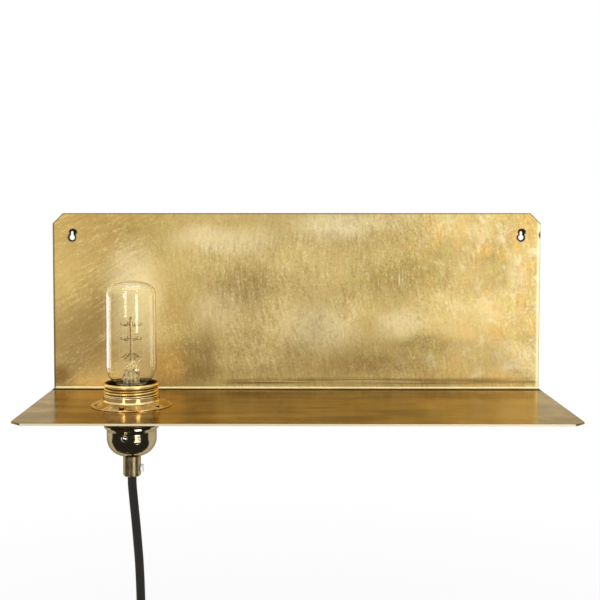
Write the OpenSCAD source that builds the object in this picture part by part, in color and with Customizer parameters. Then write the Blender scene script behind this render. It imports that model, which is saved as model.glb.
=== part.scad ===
// Wall lamp with shelf: a folded brass sheet whose foot is a shelf, with a brass lampholder
// through the shelf, a clear tubular bulb and a black textile cord that hangs down to its plug.
// Millimetres. The origin lies on the wall, midway between the two wall holes.
// +X is to the right, +Y into the wall, +Z up.

/* [Folded plate] */
// Width of the plate
plate_w = 400; // [330:1:520]
// Height of the back, from the underside of the shelf to the top edge
plate_h = 146; // [130:1:200]
// Depth of the shelf, from the wall to its front edge
shelf_d = 146; // [126:1:200]
// Thickness of the sheet
sheet_t = 1.5; // [1:0.1:2.5]
// Inside radius of the bend
bend_r = 1.2; // [0.8:0.1:4]
// Size of the clipped corners
corner_clip = 8.5; // [3:0.5:14]

/* [Wall holes] */
// Distance of each hole from its side edge
hole_inset = 16; // [12:1:40]
// Distance of the holes below the top edge
hole_drop = 20; // [14:1:40]
// Diameter of the round part of each hole
hole_d = 4.4; // [3.8:0.1:8]
// Width of the slot above the round part
slot_w = 2.2; // [1.6:0.1:3.6]
// Height of the slot's end above the middle of the round part
slot_rise = 5.2; // [4:0.1:9]

/* [Lamp position] */
// Distance of the lamp axis from the left edge
lamp_side = 75; // [60:1:120]
// Distance of the lamp axis from the wall
lamp_out = 75; // [50:1:85]

/* [Lampholder] */
// Diameter of the skirt over its thread
skirt_d = 41.2; // [39.6:0.1:45]
// Height of the skirt's lip above the shelf
skirt_top = 17.2; // [15:0.1:22]
// Depth of the skirt's shoulder below the top of the shelf
skirt_drop = 15; // [14:0.1:19]
// Pitch of the skirt's thread
skirt_pitch = 2.3; // [1.8:0.1:3]
// Depth of the skirt's thread
skirt_thread = 0.7; // [0.4:0.05:0.9]
// Wall of the skirt and its neck
skirt_wall = 0.8; // [0.6:0.05:1.2]
// Diameter of the neck that goes into the cap
neck_d = 35.8; // [34.6:0.1:37.4]
// Length of the neck
neck_l = 9; // [7:0.5:12]
// Height of the cap below the shoulder
cap_h = 23.5; // [23:0.5:30]
// Wall of the cap
cap_wall = 0.85; // [0.6:0.05:1.2]
// Radius of the cap's round bottom
cap_round = 13.5; // [11:0.5:13.5]

/* [Shade rings] */
// Diameter of the rings
ring_d = 61; // [58:0.5:70]
// Thickness of a ring's flange
ring_t = 0.8; // [0.6:0.1:1.1]
// Height that the flange rises from its rim to the collar
ring_rise = 3.6; // [2.5:0.1:4.2]
// Height of a ring with its collar
ring_h = 8; // [6.5:0.1:9]
// Wall of a ring's collar
collar_wall = 0.65; // [0.5:0.05:1]
// Diameter of the vent holes
vent_d = 4; // [2:0.1:5]
// Number of vent holes
vent_n = 6; // [3:1:8]
// Distance of the vent holes from the ring's edge
vent_edge = 3.8; // [3.2:0.1:5]

/* [Bulb] */
// Diameter of the bulb's screw thread over its crests
screw_d = 26.2; // [25.8:0.1:26.8]
// Pitch of the bulb's screw thread
screw_pitch = 3.629; // [3.5:0.001:3.8]
// Depth of the bulb's screw thread
screw_depth = 1; // [0.7:0.05:1.1]
// Diameter of the bulb's glass
glass_d = 38; // [32:0.5:38]
// Length of the bulb from its contact to its top
bulb_l = 109; // [100:1:125]
// Wall of the bulb's glass
glass_wall = 0.8; // [0.6:0.1:1.2]

/* [Cord and grip] */
// Diameter of the cord
cord_d = 6.8; // [6:0.1:7.2]
// Diameter of the cord grip
grip_d = 13.4; // [12.6:0.1:16]
// Length of the cord grip
grip_l = 15.8; // [14:0.1:22]
// Diameter of the threaded spigot on the cord grip
spigot_d = 10; // [9.6:0.1:10.6]

/* [Cord switch] */
// Length of the switch
switch_l = 44; // [40:1:46]
// Width of the switch
switch_w = 21; // [20:0.5:26]
// Depth of the switch
switch_t = 17; // [16:0.5:20]
// Angle that the rocker tips from one end to the other
rocker_tip = 14; // [10:1:16]

/* [Plug] */
// Diameter of the plug's body
plug_d = 38; // [36:0.5:40]
// Thickness of the plug's body
plug_t = 20; // [18:0.5:24]
// Diameter of a pin
pin_d = 4.8; // [4:0.1:5]
// Distance between the pins
pin_space = 19; // [18.5:0.1:20]
// Length of a pin
pin_l = 19; // [18:0.5:20]

/* [Hidden] */
$fn = 64;

brass = [0.80, 0.66, 0.38];
polished_brass = [0.85, 0.74, 0.47];
porcelain = [0.93, 0.92, 0.88];
steel = [0.72, 0.72, 0.73];
clear_glass = [0.85, 0.90, 0.92, 0.35];
black = [0.08, 0.08, 0.08];
textile = [0.12, 0.11, 0.11];
nylon = [0.88, 0.88, 0.85];

// Clearances
slide_gap = 0.1;     // between a part and the bore that it sits in
face_gap = 0.05;     // between two faces that are screwed together
run_gap = 0.35;      // between the bulb's thread and the screw shell
leaf_gap = 0.2;      // between the bulb's contact and the spring leaf
hole_play = 0.4;     // between the skirt's thread and the hole in the shelf
eps = 0.01;          // cuts run this far past a face

// Where the plate lies
top_z = hole_drop;
shelf_z = top_z - plate_h + sheet_t;
hole_x = plate_w / 2 - hole_inset;
lamp_x = -plate_w / 2 + lamp_side;
lamp_y = -lamp_out;

// Lampholder, with z measured from the top of the shelf
crest_r = skirt_d / 2;
root_r = crest_r - skirt_thread;
skirt_in_r = root_r - skirt_wall;
lip_r = 1.3;
ring_bend = 1.4;
neck_r = neck_d / 2;
shoulder_z = -skirt_drop;
shoulder_t = 1;
neck_z = shoulder_z - neck_l;
cap_in_r = neck_r + slide_gap;
cap_r = cap_in_r + cap_wall;
cap_lip_r = crest_r + 0.25;
cap_lip_h = 4.5;
cap_lip_edge = 1.2;
cap_z = shoulder_z - cap_h;
vent_turn = 203;
round_x = cap_r - cap_round;
round_z = cap_z + cap_round;
lock_z = shoulder_z - 7;
lock_turn = 8;
lock_r = 1.5;
lock_head_r = 2.4;
lock_head_t = 1.1;

// Porcelain core
core_r = neck_r - skirt_wall - 2 * slide_gap;
core_flange_t = 2.4;
core_flange_z = neck_z - face_gap - core_flange_t;
core_floor_t = 9;
floor_z = core_flange_z + core_floor_t;
core_top = skirt_top - 8.2;
screw_r = screw_d / 2;
shell_in_r = screw_r + run_gap;
shell_r = shell_in_r + 0.5;
core_in_r = shell_r + slide_gap;
shell_top = core_top - 1.2;
shell_z = floor_z + 8.75;
thread_amp = screw_depth / 2;
sides = 28;          // facets around the bulb's thread
rows_per_turn = 6;   // rings of facets in each turn of it

// Contacts and terminals
leaf_t = 0.5;
leaf_w = 5;
leaf_rise = 2.25;
terminal_x = 8.5;
stud_r = 1.5;
block_w = 6;
block_h = 5.2;
block_z = core_flange_z - face_gap;
wire_r = 0.9;
wire_z = block_z - 2.7;
strip_w = 3.6;
strip_t = 0.4;
side_x = shell_in_r + 0.02;

// Bulb, with z measured from the top of the shelf
tip_z = floor_z + leaf_rise + leaf_gap;
cap_thread_z = tip_z + 5.5;
cap_skirt_z = tip_z + 23.4;
bulb_cap_top = tip_z + 27;
cap_thread_in = screw_r - screw_depth - 0.4;
neck_glass_r = screw_r - 0.6;
glass_r = glass_d / 2;
glass_top = tip_z + bulb_l;
glass_low = tip_z + 45;
glass_turn = 16.5;
crown_h = 11;
stem_h = 48;         // heights inside the bulb, from its tip contact
flare_h = 28;
stem_foot_h = 31.5;
stem_wide_h = 36;
rod_h = 82;
stem_top = tip_z + stem_h;
flare_z = tip_z + flare_h;
stem_foot_z = tip_z + stem_foot_h;
stem_wide_z = tip_z + stem_wide_h;
flare_r = 9;
stem_foot_r = 7;
stem_wide_r = 6;
rod_r = 1;
rod_top = tip_z + rod_h;
hook_r = 6.5;
hook_n = 6;
hook_levels = [tip_z + 53, tip_z + 65, tip_z + 76];

// Cord grip, with z measured from the top of the shelf
grip_r = grip_d / 2;
cord_r = cord_d / 2;
bore_r = cord_r + 0.15;
spigot_r = spigot_d / 2;
spigot_h = 5.2;
exit_z = cap_z - grip_l;
grip_chamfer = 1;
nut_r = 8;
nut_t = 2.2;
nut_z = round_z - sqrt(pow(cap_round - cap_wall, 2) - pow(max(nut_r - round_x, 0), 2)) + face_gap;
side_screw_z = cap_z - 10.1;
side_screw_r = 1.9;
side_head_r = 3.1;
side_head_t = 1.9;
sheath_top = cap_z + spigot_h + 0.3;

// The cord's route, from its exit at the foot of the grip. It hangs with a slight lean to the right,
// goes straight through the switch and bends into the left of the coil.
cord_route = [
    [0, 0, 0], [0, 0, -6], [0.6, 0, -14], [1.6, 0, -25], [2.7, 0, -37], [3.9, 0, -52], [4.9, 0, -66],
    [5.6, 0, -82], [6, 0, -98], [6, 0, -112], [6, 0, -128], [6, 0, -146],
    [5, 0, -155], [1.5, 0, -164], [-5, 0, -172], [-14, 0, -178.5], [-22, 0, -186]
];
switch_at = [6, 0, -123];
coil_at = [6, 10.4, -216];
coil_in = 32;
coil_out = 46;
coil_half = 13.8;
coil_round = 3;
// The last stretch, from the coil's front to the plug, measured from the middle of the coil
lead_route = [
    [27, -11, -23], [33.5, -12.5, -12], [35.5, -15, 0], [31.5, -18, 14.5], [21, -20.5, 25],
    [6.5, -22, 29], [1, -22, 29], [-12, -22, 29], [-24, -22, 29]
];
tie_angle = 78;
tie_w = 7;
tie_t = 1;

// Plug, measured from the middle of the coil
plug_r = plug_d / 2;
plug_at = [-20 - plug_r, -22, 29];
lead_y = -plug_at[1];
relief_l = 22;
plug_back = coil_half + 0.3;
plug_front = plug_back + plug_t;
neck_half = 7;
pin_seat = 7.5;
recess_w = 7;
recess_d = 2.5;
recess_l = 12;

// Switch
bolt_x = switch_w / 2 - 3.4;
bolt_z = switch_l / 2 - 5;
bolt_r = 1.1;
bolt_head_r = 2.1;
bolt_head_t = 1.4;
bolt_reach = 6;
switch_back_t = 5.2;
bolt_seat = switch_back_t - bolt_head_t - 0.3;
switch_front_t = switch_t - switch_back_t;
switch_round = 4;
channel_r = cord_r + 0.1;
rocker_w = 9;
rocker_l = 16;
window_gap = 0.5;
pivot_y = 8.2;
pivot_r = 0.9;
pivot_reach = 1.4;
rocker_foot = 2.2;

// Helpers

// Points of an arc about c, from angle a to angle b, in n steps
function arc(c, r, a, b, n) = [for (i = [0:n]) c + r * [cos(a + (b - a) * i / n), sin(a + (b - a) * i / n)]];

function unit(v) = v / norm(v);

function tangents(p) = [
    for (i = [0:len(p) - 1])
        unit(p[min(i + 1, len(p) - 1)] - p[max(i - 1, 0)])
];

// Carries a normal along a route without twisting it
function carried(t, n, i = 0) =
    i >= len(t) ? [] :
    let (m = unit(n - (n * t[i]) * t[i]))
    concat([m], carried(t, m, i + 1));

// A round tube swept along a route, closed by a flat end on each side
module tube(route, r, n, up) {
    t = tangents(route);
    m = carried(t, up);
    last = len(route) - 1;
    ring_points = [
        for (i = [0:last], j = [0:n - 1])
            route[i] + r * (cos(360 * j / n) * m[i] + sin(360 * j / n) * cross(t[i], m[i]))
    ];
    walls = [
        for (i = [0:last - 1], j = [0:n - 1], half = [0, 1])
            let (a = i * n + j, b = i * n + (j + 1) % n)
            half == 0 ? [a, a + n, b] : [b, a + n, b + n]
    ];
    ends = [[for (j = [0:n - 1]) j], [for (j = [n - 1:-1:0]) last * n + j]];
    polyhedron(ring_points, concat(walls, ends), convexity = 6);
}

// Radius of the bulb's thread, plus a gap, at an angle and a height
function thread_r(gap, angle, z) =
    screw_r - thread_amp + gap + thread_amp * cos(360 * z / screw_pitch - angle);

// A closed skin between two stacks of rings, each ring given as [height, list of radii]
module ring_skin(outer, inner) {
    n = sides;
    stack = concat(outer, [for (i = [len(inner) - 1:-1:0]) inner[i]]);
    rings = len(stack);
    skin_points = [
        for (ring = stack, j = [0:n - 1])
            [ring[1][j] * cos(360 * j / n), ring[1][j] * sin(360 * j / n), ring[0]]
    ];
    skin = [
        for (i = [0:rings - 1], j = [0:n - 1], half = [0, 1])
            let (next = (i + 1) % rings, a = i * n + j, b = i * n + (j + 1) % n)
            let (c = next * n + j, d = next * n + (j + 1) % n)
            half == 0 ? [a, c, b] : [b, c, d]
    ];
    polyhedron(skin_points, skin, convexity = 8);
}

function plain_ring(z, r) = [z, [for (j = [0:sides - 1]) r]];
function thread_ring(z, gap) = [z, [for (j = [0:sides - 1]) thread_r(gap, 360 * j / sides, z)]];
function thread_rings(z0, z1, gap) =
    let (n = ceil((z1 - z0) / screw_pitch * rows_per_turn))
    [for (i = [0:n]) thread_ring(z0 + (z1 - z0) * i / n, gap)];

module at_lamp() { translate([lamp_x, lamp_y, shelf_z]) children(); }
module at_exit() { at_lamp() translate([0, 0, exit_z]) children(); }
module at_coil() { at_exit() translate(coil_at) children(); }
module at_switch() { at_exit() translate(switch_at) children(); }

module slotted_head(r, t, slot) {
    difference() {
        cylinder(r = r, h = t);
        translate([-r - 1, -slot / 2, t / 2]) cube([2 * r + 2, slot, t]);
    }
}

// Folded plate

module plate_profile() {
    corner = [-(sheet_t + bend_r), shelf_z + bend_r];
    translate([-sheet_t, corner[1]]) square([sheet_t, top_z - corner[1]]);
    translate([-shelf_d, shelf_z - sheet_t]) square([shelf_d + corner[0], sheet_t]);
    intersection() {
        difference() {
            translate(corner) circle(r = bend_r + sheet_t);
            translate(corner) circle(r = bend_r);
        }
        translate([corner[0], corner[1] - bend_r - sheet_t]) square(bend_r + sheet_t);
    }
}

module keyhole() {
    rotate([90, 0, 0]) {
        cylinder(d = hole_d, h = 4 * sheet_t, center = true);
        translate([-slot_w / 2, 0, -2 * sheet_t]) cube([slot_w, slot_rise - slot_w / 2, 4 * sheet_t]);
        translate([0, slot_rise - slot_w / 2, 0]) cylinder(d = slot_w, h = 4 * sheet_t, center = true);
    }
}

module corner_cut(size) {
    linear_extrude(height = 4 * sheet_t, center = true)
        polygon([
            [-1, -1], [size + 1, -1], [size + 1, 0], [size, 0], [0, size], [0, size + 1], [-1, size + 1]
        ]);
}

module bent_plate() {
    color(brass) difference() {
        translate([-plate_w / 2, 0, 0]) rotate([90, 0, 90]) linear_extrude(height = plate_w) plate_profile();
        for (side = [-1, 1]) {
            translate([side * hole_x, 0, 0]) keyhole();
            translate([side * plate_w / 2, -sheet_t / 2, top_z])
                mirror([side > 0 ? 1 : 0, 0, 0]) rotate([-90, 0, 0]) corner_cut(corner_clip);
            translate([side * plate_w / 2, -shelf_d, shelf_z - sheet_t / 2])
                mirror([side > 0 ? 1 : 0, 0, 0]) corner_cut(corner_clip);
        }
        translate([lamp_x, lamp_y, shelf_z - 2 * sheet_t]) cylinder(r = crest_r + hole_play, h = 4 * sheet_t);
    }
}

// Shade rings: one stands on the shelf, its twin is turned over below it. The flange is a shallow cone
// that stands on its rim, so the vent holes open into the hollow under it

module shade_ring() {
    bore = crest_r + slide_gap;
    collar_r = bore + collar_wall;
    rim_r = ring_d / 2;
    rim_w = 1.1;
    foot_r = collar_r + ring_bend;
    slope = (ring_rise - ring_t) / (rim_r - rim_w - foot_r);
    difference() {
        rotate_extrude() polygon(concat(
            [[rim_r - rim_w, 0], [rim_r - 0.3, 0], [rim_r, 0.3], [rim_r, ring_t - 0.2]],
            [[rim_r - 0.2, ring_t], [rim_r - rim_w, ring_t + 0.1], [foot_r, ring_rise]],
            arc([foot_r, ring_rise + ring_bend], ring_bend, 255, 180, 4),
            [[collar_r, ring_h - 0.3], [collar_r - 0.3, ring_h], [bore, ring_h]],
            [[bore, ring_rise + ring_bend - ring_t], [bore + 0.5, ring_rise + ring_bend - 2 * ring_t]],
            [[foot_r, ring_rise - ring_t], [rim_r - rim_w - 0.2 / slope, 0.2]]
        ));
        for (i = [0:vent_n - 1])
            rotate([0, 0, vent_turn + 360 * i / vent_n])
                translate([rim_r - vent_edge, 0, -1]) cylinder(d = vent_d, h = ring_h);
    }
}

module upper_ring() { color(brass) at_lamp() shade_ring(); }

module lower_ring() { color(brass) at_lamp() translate([0, 0, -sheet_t]) mirror([0, 0, 1]) shade_ring(); }

// Skirt: lip, thread and neck, with a hole for the lock screw

module threaded_skirt() {
    low = shoulder_z + shoulder_t;
    first = low + 0.4;
    n = floor((skirt_top - 2 * lip_r - 0.6 - first) / skirt_pitch);
    ridges = [
        for (i = [0:n - 1], k = [0:3])
            [k == 0 || k == 3 ? root_r : crest_r, first + skirt_pitch * (i + [0.1, 0.35, 0.6, 0.85][k])]
    ];
    color(polished_brass) at_lamp() difference() {
        rotate_extrude() polygon(concat(
            [[neck_r - skirt_wall, neck_z], [neck_r, neck_z], [neck_r, shoulder_z], [root_r, shoulder_z]],
            ridges,
            [[root_r, skirt_top - 2 * lip_r]],
            arc([root_r - 0.3, skirt_top - lip_r], lip_r, -75, 180, 10),
            [[skirt_in_r, skirt_top - 2 * lip_r - 0.5], [skirt_in_r, low], [neck_r - skirt_wall, low]]
        ));
        rotate([0, 0, -90 - lock_turn]) translate([0, 0, lock_z]) rotate([0, 90, 0])
            cylinder(r = lock_r + face_gap, h = neck_r + 1);
    }
}

// Cap: a round-bottomed bowl with a flared lip

module holder_cap() {
    inner = cap_round - cap_wall;
    color(polished_brass) at_lamp() difference() {
        rotate_extrude() polygon(concat(
            [[cap_in_r, shoulder_z], [cap_lip_r, shoulder_z], [cap_lip_r, shoulder_z - cap_lip_edge]],
            arc([cap_lip_r, shoulder_z - cap_lip_h], cap_lip_r - cap_r, 125, 170, 3),
            [[cap_r, shoulder_z - cap_lip_h]],
            arc([round_x, round_z], cap_round, 0, -90, 14),
            [[spigot_r + face_gap, cap_z], [spigot_r + face_gap, cap_z + cap_wall]],
            round_x > spigot_r + 2 * face_gap ? [[round_x, cap_z + cap_wall]] : [],
            arc([round_x, round_z], inner, round_x > spigot_r + 2 * face_gap ? -84 : -80, 0, 13)
        ));
        rotate([0, 0, -90 - lock_turn]) translate([0, 0, lock_z]) rotate([0, 90, 0])
            cylinder(r = lock_r + face_gap, h = cap_r + 3);
    }
}

module cap_lock_screw() {
    tip = neck_r - skirt_wall;
    color(polished_brass) at_lamp() rotate([0, 0, -90 - lock_turn]) translate([0, 0, lock_z])
        rotate([0, 90, 0]) {
            translate([0, 0, tip]) cylinder(r = lock_r, h = cap_r - tip + 0.2);
            translate([0, 0, cap_r + face_gap]) rotate([0, 0, 75])
                slotted_head(lock_head_r, lock_head_t, 0.8);
        }
}

// Porcelain core, clamped between the skirt's neck and the cap

module ceramic_core() {
    sunk = max(round_z - core_flange_z, 0);
    flange_r = round_x + sqrt(pow(cap_round - cap_wall, 2) - pow(sunk, 2)) - slide_gap;
    color(porcelain) at_lamp() difference() {
        rotate_extrude() polygon([
            [0, core_flange_z], [flange_r, core_flange_z], [flange_r, core_flange_z + core_flange_t],
            [core_r, core_flange_z + core_flange_t], [core_r, core_top - 0.8], [core_r - 0.8, core_top],
            [core_in_r + 0.8, core_top], [core_in_r, core_top - 0.8], [core_in_r, floor_z], [0, floor_z]
        ]);
        for (x = [-terminal_x, terminal_x])
            translate([x, 0, core_flange_z - 1]) cylinder(r = stud_r + slide_gap, h = core_floor_t + 2);
        translate([0, terminal_x, core_flange_z - 1]) cylinder(r = stud_r + slide_gap, h = 5.2);
    }
}

module screw_shell() {
    color(polished_brass) at_lamp() ring_skin(
        [plain_ring(shell_z, shell_r), plain_ring(shell_top, shell_r)],
        thread_rings(shell_z, shell_top, run_gap));
}

// Contacts: a sprung leaf under the bulb's tip and a strip up to the screw shell

module centre_contact() {
    foot = floor_z + face_gap;
    top = floor_z + leaf_rise;
    color(brass) at_lamp() difference() {
        translate([0, leaf_w / 2, 0]) rotate([90, 0, 0]) linear_extrude(height = leaf_w) polygon([
            [terminal_x + 2.8, foot], [terminal_x + 2.8, foot + leaf_t], [5.2, foot + leaf_t],
            [1.8, top], [-2.6, top], [-2.6, top - leaf_t], [1.5, top - leaf_t], [4.9, foot]
        ]);
        translate([terminal_x, 0, foot - 1]) cylinder(r = 1.2, h = 3);
    }
}

module side_contact() {
    foot = floor_z + face_gap;
    color(brass) at_lamp() difference() {
        union() {
            translate([-side_x - strip_t, -strip_w / 2, foot]) cube([strip_t, strip_w, shell_z - foot]);
            translate([-side_x - strip_t, -strip_w / 2, foot]) cube([side_x + strip_t - 6, strip_w, leaf_t]);
        }
        translate([-terminal_x, 0, foot - 1]) cylinder(r = 1.2, h = 3);
    }
}

module contact_screws() {
    color(steel) at_lamp() for (x = [-terminal_x, terminal_x])
        translate([x, 0, floor_z + face_gap + leaf_t]) {
            translate([0, 0, -3.5]) cylinder(r = 1.1, h = 3.6);
            slotted_head(1.9, 1, 0.6);
        }
}

// A terminal block under the core, with its stud up into the core and a bore for the wire
module terminal(angle, stud_h) {
    at_lamp() rotate([0, 0, angle]) difference() {
        union() {
            translate([terminal_x - block_w / 2, -block_w / 2, block_z - block_h])
                cube([block_w, block_w, block_h]);
            translate([terminal_x, 0, block_z - eps]) cylinder(r = stud_r, h = stud_h + eps);
        }
        translate([terminal_x, 0, block_z + stud_h - 4]) cylinder(r = 1.15, h = 5);
        translate([terminal_x - block_w / 2 - 1, 0, wire_z]) rotate([0, 90, 0])
            cylinder(r = wire_r + slide_gap, h = block_w);
        translate([terminal_x, 0, block_z - block_h - 1]) cylinder(r = 1.2, h = block_h - 2);
    }
}

module live_terminal() { color(brass) terminal(0, floor_z - block_z); }

module neutral_terminal() { color(brass) terminal(180, floor_z - block_z); }

module earth_terminal() {
    wall_in = cap_in_r - 0.35;
    color(brass) {
        terminal(90, 4);
        at_lamp() translate([-2, terminal_x + block_w / 2 - eps, block_z - 1])
            cube([4, wall_in - 0.4 - terminal_x - block_w / 2, 0.6]);
    }
}

module terminal_screws() {
    color(steel) at_lamp() for (a = [0, 90, 180])
        rotate([0, 0, a]) translate([terminal_x, 0, block_z - block_h - face_gap]) mirror([0, 0, 1]) {
            translate([0, 0, -(wire_z - wire_r - face_gap - (block_z - block_h)) - face_gap])
                cylinder(r = 1.1, h = wire_z - wire_r - (block_z - block_h) + 0.1);
            slotted_head(1.8, 1.1, 0.6);
        }
}

// Cord grip, held in the cap by its nut

module cord_grip() {
    color(brass) at_lamp() difference() {
        union() {
            rotate_extrude() polygon([
                [0, exit_z], [grip_r - grip_chamfer, exit_z], [grip_r, exit_z + grip_chamfer],
                [grip_r, cap_z - 0.4], [grip_r - 0.4, cap_z - face_gap], [0, cap_z - face_gap]
            ]);
            translate([0, 0, cap_z - 1]) cylinder(r = spigot_r, h = spigot_h + 1);
        }
        translate([0, 0, exit_z - 1]) cylinder(r = bore_r, h = grip_l + spigot_h + 2);
        translate([0, 0, side_screw_z]) rotate([0, 90, 0])
            cylinder(r = side_screw_r + face_gap, h = grip_r + 1);
    }
}

module grip_nut() {
    color(steel) at_lamp() translate([0, 0, nut_z]) difference() {
        cylinder(r = nut_r, h = nut_t, $fn = 6);
        translate([0, 0, -1]) cylinder(r = spigot_r + face_gap, h = nut_t + 2);
    }
}

module grip_screw() {
    color(nylon) at_lamp() translate([0, 0, side_screw_z]) rotate([0, 90, 0]) {
        translate([0, 0, bore_r]) cylinder(r = side_screw_r, h = grip_r - bore_r + 0.2);
        translate([0, 0, grip_r + face_gap]) rotate([0, 0, 30]) slotted_head(side_head_r, side_head_t, 0.9);
    }
}

module cord_sheath_end() {
    color(textile) at_lamp() translate([0, 0, exit_z]) cylinder(r = cord_r, h = sheath_top - exit_z);
}

// A wire from the end of the cord to its terminal, bent outwards along its own angle
module wire(angle) {
    start = sheath_top + face_gap;
    rise = wire_z - start;
    at_lamp() rotate([0, 0, angle]) tube([
        [1.5, 0, start], [1.5, 0, start + 0.25 * rise], [2.2, 0, start + 0.6 * rise],
        [3.4, 0, wire_z - 0.1 * rise], [5, 0, wire_z], [7, 0, wire_z], [terminal_x, 0, wire_z]
    ], wire_r, 8, [0, 1, 0]);
}

module live_wire() { color([0.45, 0.25, 0.12]) wire(0); }

module neutral_wire() { color([0.15, 0.3, 0.7]) wire(180); }

module earth_wire() { color([0.4, 0.65, 0.15]) wire(90); }

// Bulb

module bulb_glass() {
    low_angle = acos((neck_glass_r - glass_r + glass_turn) / glass_turn);
    crown = [
        for (i = [1:10])
            let (a = 9 * i, n = 2 / 2.4)
            [pow(cos(a), n), pow(sin(a), n)]
    ];
    outer = concat(
        [[neck_glass_r, cap_skirt_z + 0.4]],
        arc([glass_r - glass_turn, glass_low], glass_turn, -low_angle, 0, 8),
        [for (c = crown) if (c[0] > 0.01) [glass_r * c[0], glass_top - crown_h + crown_h * c[1]]],
        [[0, glass_top]]);
    w = glass_wall;
    inner = concat(
        [[0, glass_top - w]],
        [for (i = [len(crown) - 1:-1:0]) if (crown[i][0] > 0.01)
            [(glass_r - w) * crown[i][0], glass_top - crown_h + (crown_h - w) * crown[i][1]]],
        arc([glass_r - glass_turn, glass_low], glass_turn - w, 0, -low_angle, 8),
        [[neck_glass_r - w, cap_skirt_z + 0.4]]);
    color(clear_glass) at_lamp() rotate_extrude() polygon(concat(outer, inner));
}

module bulb_screw_cap() {
    cuff = neck_glass_r + slide_gap;
    color(steel) at_lamp() ring_skin(
        concat(
            thread_rings(cap_thread_z, cap_skirt_z, 0),
            [plain_ring(cap_skirt_z + 0.3, screw_r), plain_ring(bulb_cap_top - 0.4, screw_r + 0.3),
             plain_ring(bulb_cap_top, screw_r)]),
        [plain_ring(cap_thread_z, cap_thread_in), plain_ring(cap_skirt_z - 0.4, cap_thread_in),
         plain_ring(cap_skirt_z, cuff), plain_ring(bulb_cap_top, cuff)]);
}

module bulb_insulator() {
    base = cap_thread_z - slide_gap;
    r = cap_thread_in - 0.3;
    color(black) at_lamp() rotate_extrude() polygon([
        [0, tip_z + 1.5], [5.4, tip_z + 1.5], [r + 0.2, base - 0.6], [r + 0.2, base], [r, base],
        [r, base + 1.8], [0, base + 1.8]
    ]);
}

module bulb_contact() {
    color(steel) at_lamp() rotate_extrude() polygon([
        [0, tip_z], [3, tip_z], [4.6, tip_z + 0.8], [4.6, tip_z + 1.5 - face_gap], [0, tip_z + 1.5 - face_gap]
    ]);
}

// Glass stem: a flare sealed inside the neck, a tube and a thin rod up the middle
module bulb_stem() {
    color(clear_glass) at_lamp() rotate_extrude() polygon([
        [0, flare_z + 2], [neck_glass_r - glass_wall - 0.1, cap_skirt_z + 0.4],
        [neck_glass_r - glass_wall - 0.1, cap_skirt_z + 1.2], [flare_r, flare_z],
        [stem_foot_r, stem_foot_z], [stem_wide_r, stem_wide_z], [stem_wide_r - 0.4, stem_top - 5],
        [stem_wide_r - 1.4, stem_top - 0.8], [stem_wide_r - 1.8, stem_top], [rod_r, stem_top],
        [rod_r, rod_top - 1], [0.6, rod_top], [0, rod_top]
    ]);
}

// Two stiff wires that bring the current up through the stem to the first and last hook
module bulb_leads() {
    color(steel) at_lamp() for (side = [-1, 1]) tube([
        [side * 3.2, 0, stem_top + face_gap], [side * 3.2, 0, stem_top + 1.2],
        [side * 4.8, 0, stem_top + 3.2], [side * hook_r, 0, hook_levels[0] - 0.4]
    ], 0.3, 8, [0, 1, 0]);
}

function hook_angle(i) = 360 * (i + 0.5) / hook_n;

// Fine wires that stand out from the rod at three levels and carry the filament
module filament_hooks() {
    color(steel) at_lamp() for (level = hook_levels, i = [0:hook_n - 1])
        rotate([0, 0, hook_angle(i)]) translate([rod_r + face_gap, 0, level - 0.6])
            rotate([0, 84, 0]) cylinder(r = 0.22, h = hook_r - rod_r - 0.3);
}

// The filament runs up and down between the lowest and the highest hooks, as a cage
module filament() {
    low = hook_levels[0];
    high = hook_levels[2];
    r = hook_r + 0.25;
    zigzag = concat(
        [[hook_r + 0.1, 0, low]],
        [for (i = [0:hook_n - 1], end = [0, 1])
            let (z = (i % 2 == 0) == (end == 0) ? low : high)
            [r * cos(hook_angle(i) + (end == 0 ? -4 : 4)), r * sin(hook_angle(i) + (end == 0 ? -4 : 4)), z]]);
    color([0.75, 0.6, 0.35]) at_lamp() tube(zigzag, 0.15, 5, [0, 0.3, 1]);
}

// Cord

module cord() { color(textile) at_exit() tube(cord_route, cord_r, 10, [0, 1, 0]); }

module cord_coil() {
    color(textile) at_coil() rotate([90, 0, 0]) rotate_extrude() polygon(concat(
        arc([coil_out - coil_round, coil_half - coil_round], coil_round, 0, 90, 4),
        arc([coil_in + coil_round, coil_half - coil_round], coil_round, 90, 180, 4),
        arc([coil_in + coil_round, coil_round - coil_half], coil_round, 180, 270, 4),
        arc([coil_out - coil_round, coil_round - coil_half], coil_round, 270, 360, 4)
    ));
}

module plug_lead() { color(textile) at_coil() tube(lead_route, cord_r, 10, [0, 1, 0]); }

// A strap round the turns of the coil
module coil_tie() {
    mid = (coil_in + coil_out) / 2;
    w = coil_out - coil_in + 1;
    h = 2 * coil_half + 0.4;
    color(black) at_coil() rotate([0, -tie_angle, 0]) translate([mid, 0, -tie_w / 2])
        linear_extrude(height = tie_w) difference() {
            square([w + 2 * tie_t, h + 2 * tie_t], center = true);
            square([w, h], center = true);
        }
}

// Cord switch: two halves, a rocker on a pin and two screws

// One half of the switch: side 1 is the front, towards -Y, and side -1 the back
module switch_half(depth, side) {
    mirror([0, side > 0 ? 0 : 1, 0]) linear_extrude(height = switch_l, center = true) polygon(concat(
        [[-switch_w / 2, -face_gap / 2], [-switch_w / 2, -depth + switch_round]],
        arc([-switch_w / 2 + switch_round, -depth + switch_round], switch_round, 198, 270, 4),
        arc([switch_w / 2 - switch_round, -depth + switch_round], switch_round, 270, 342, 4),
        [[switch_w / 2, -depth + switch_round], [switch_w / 2, -face_gap / 2]]
    ));
}

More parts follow.
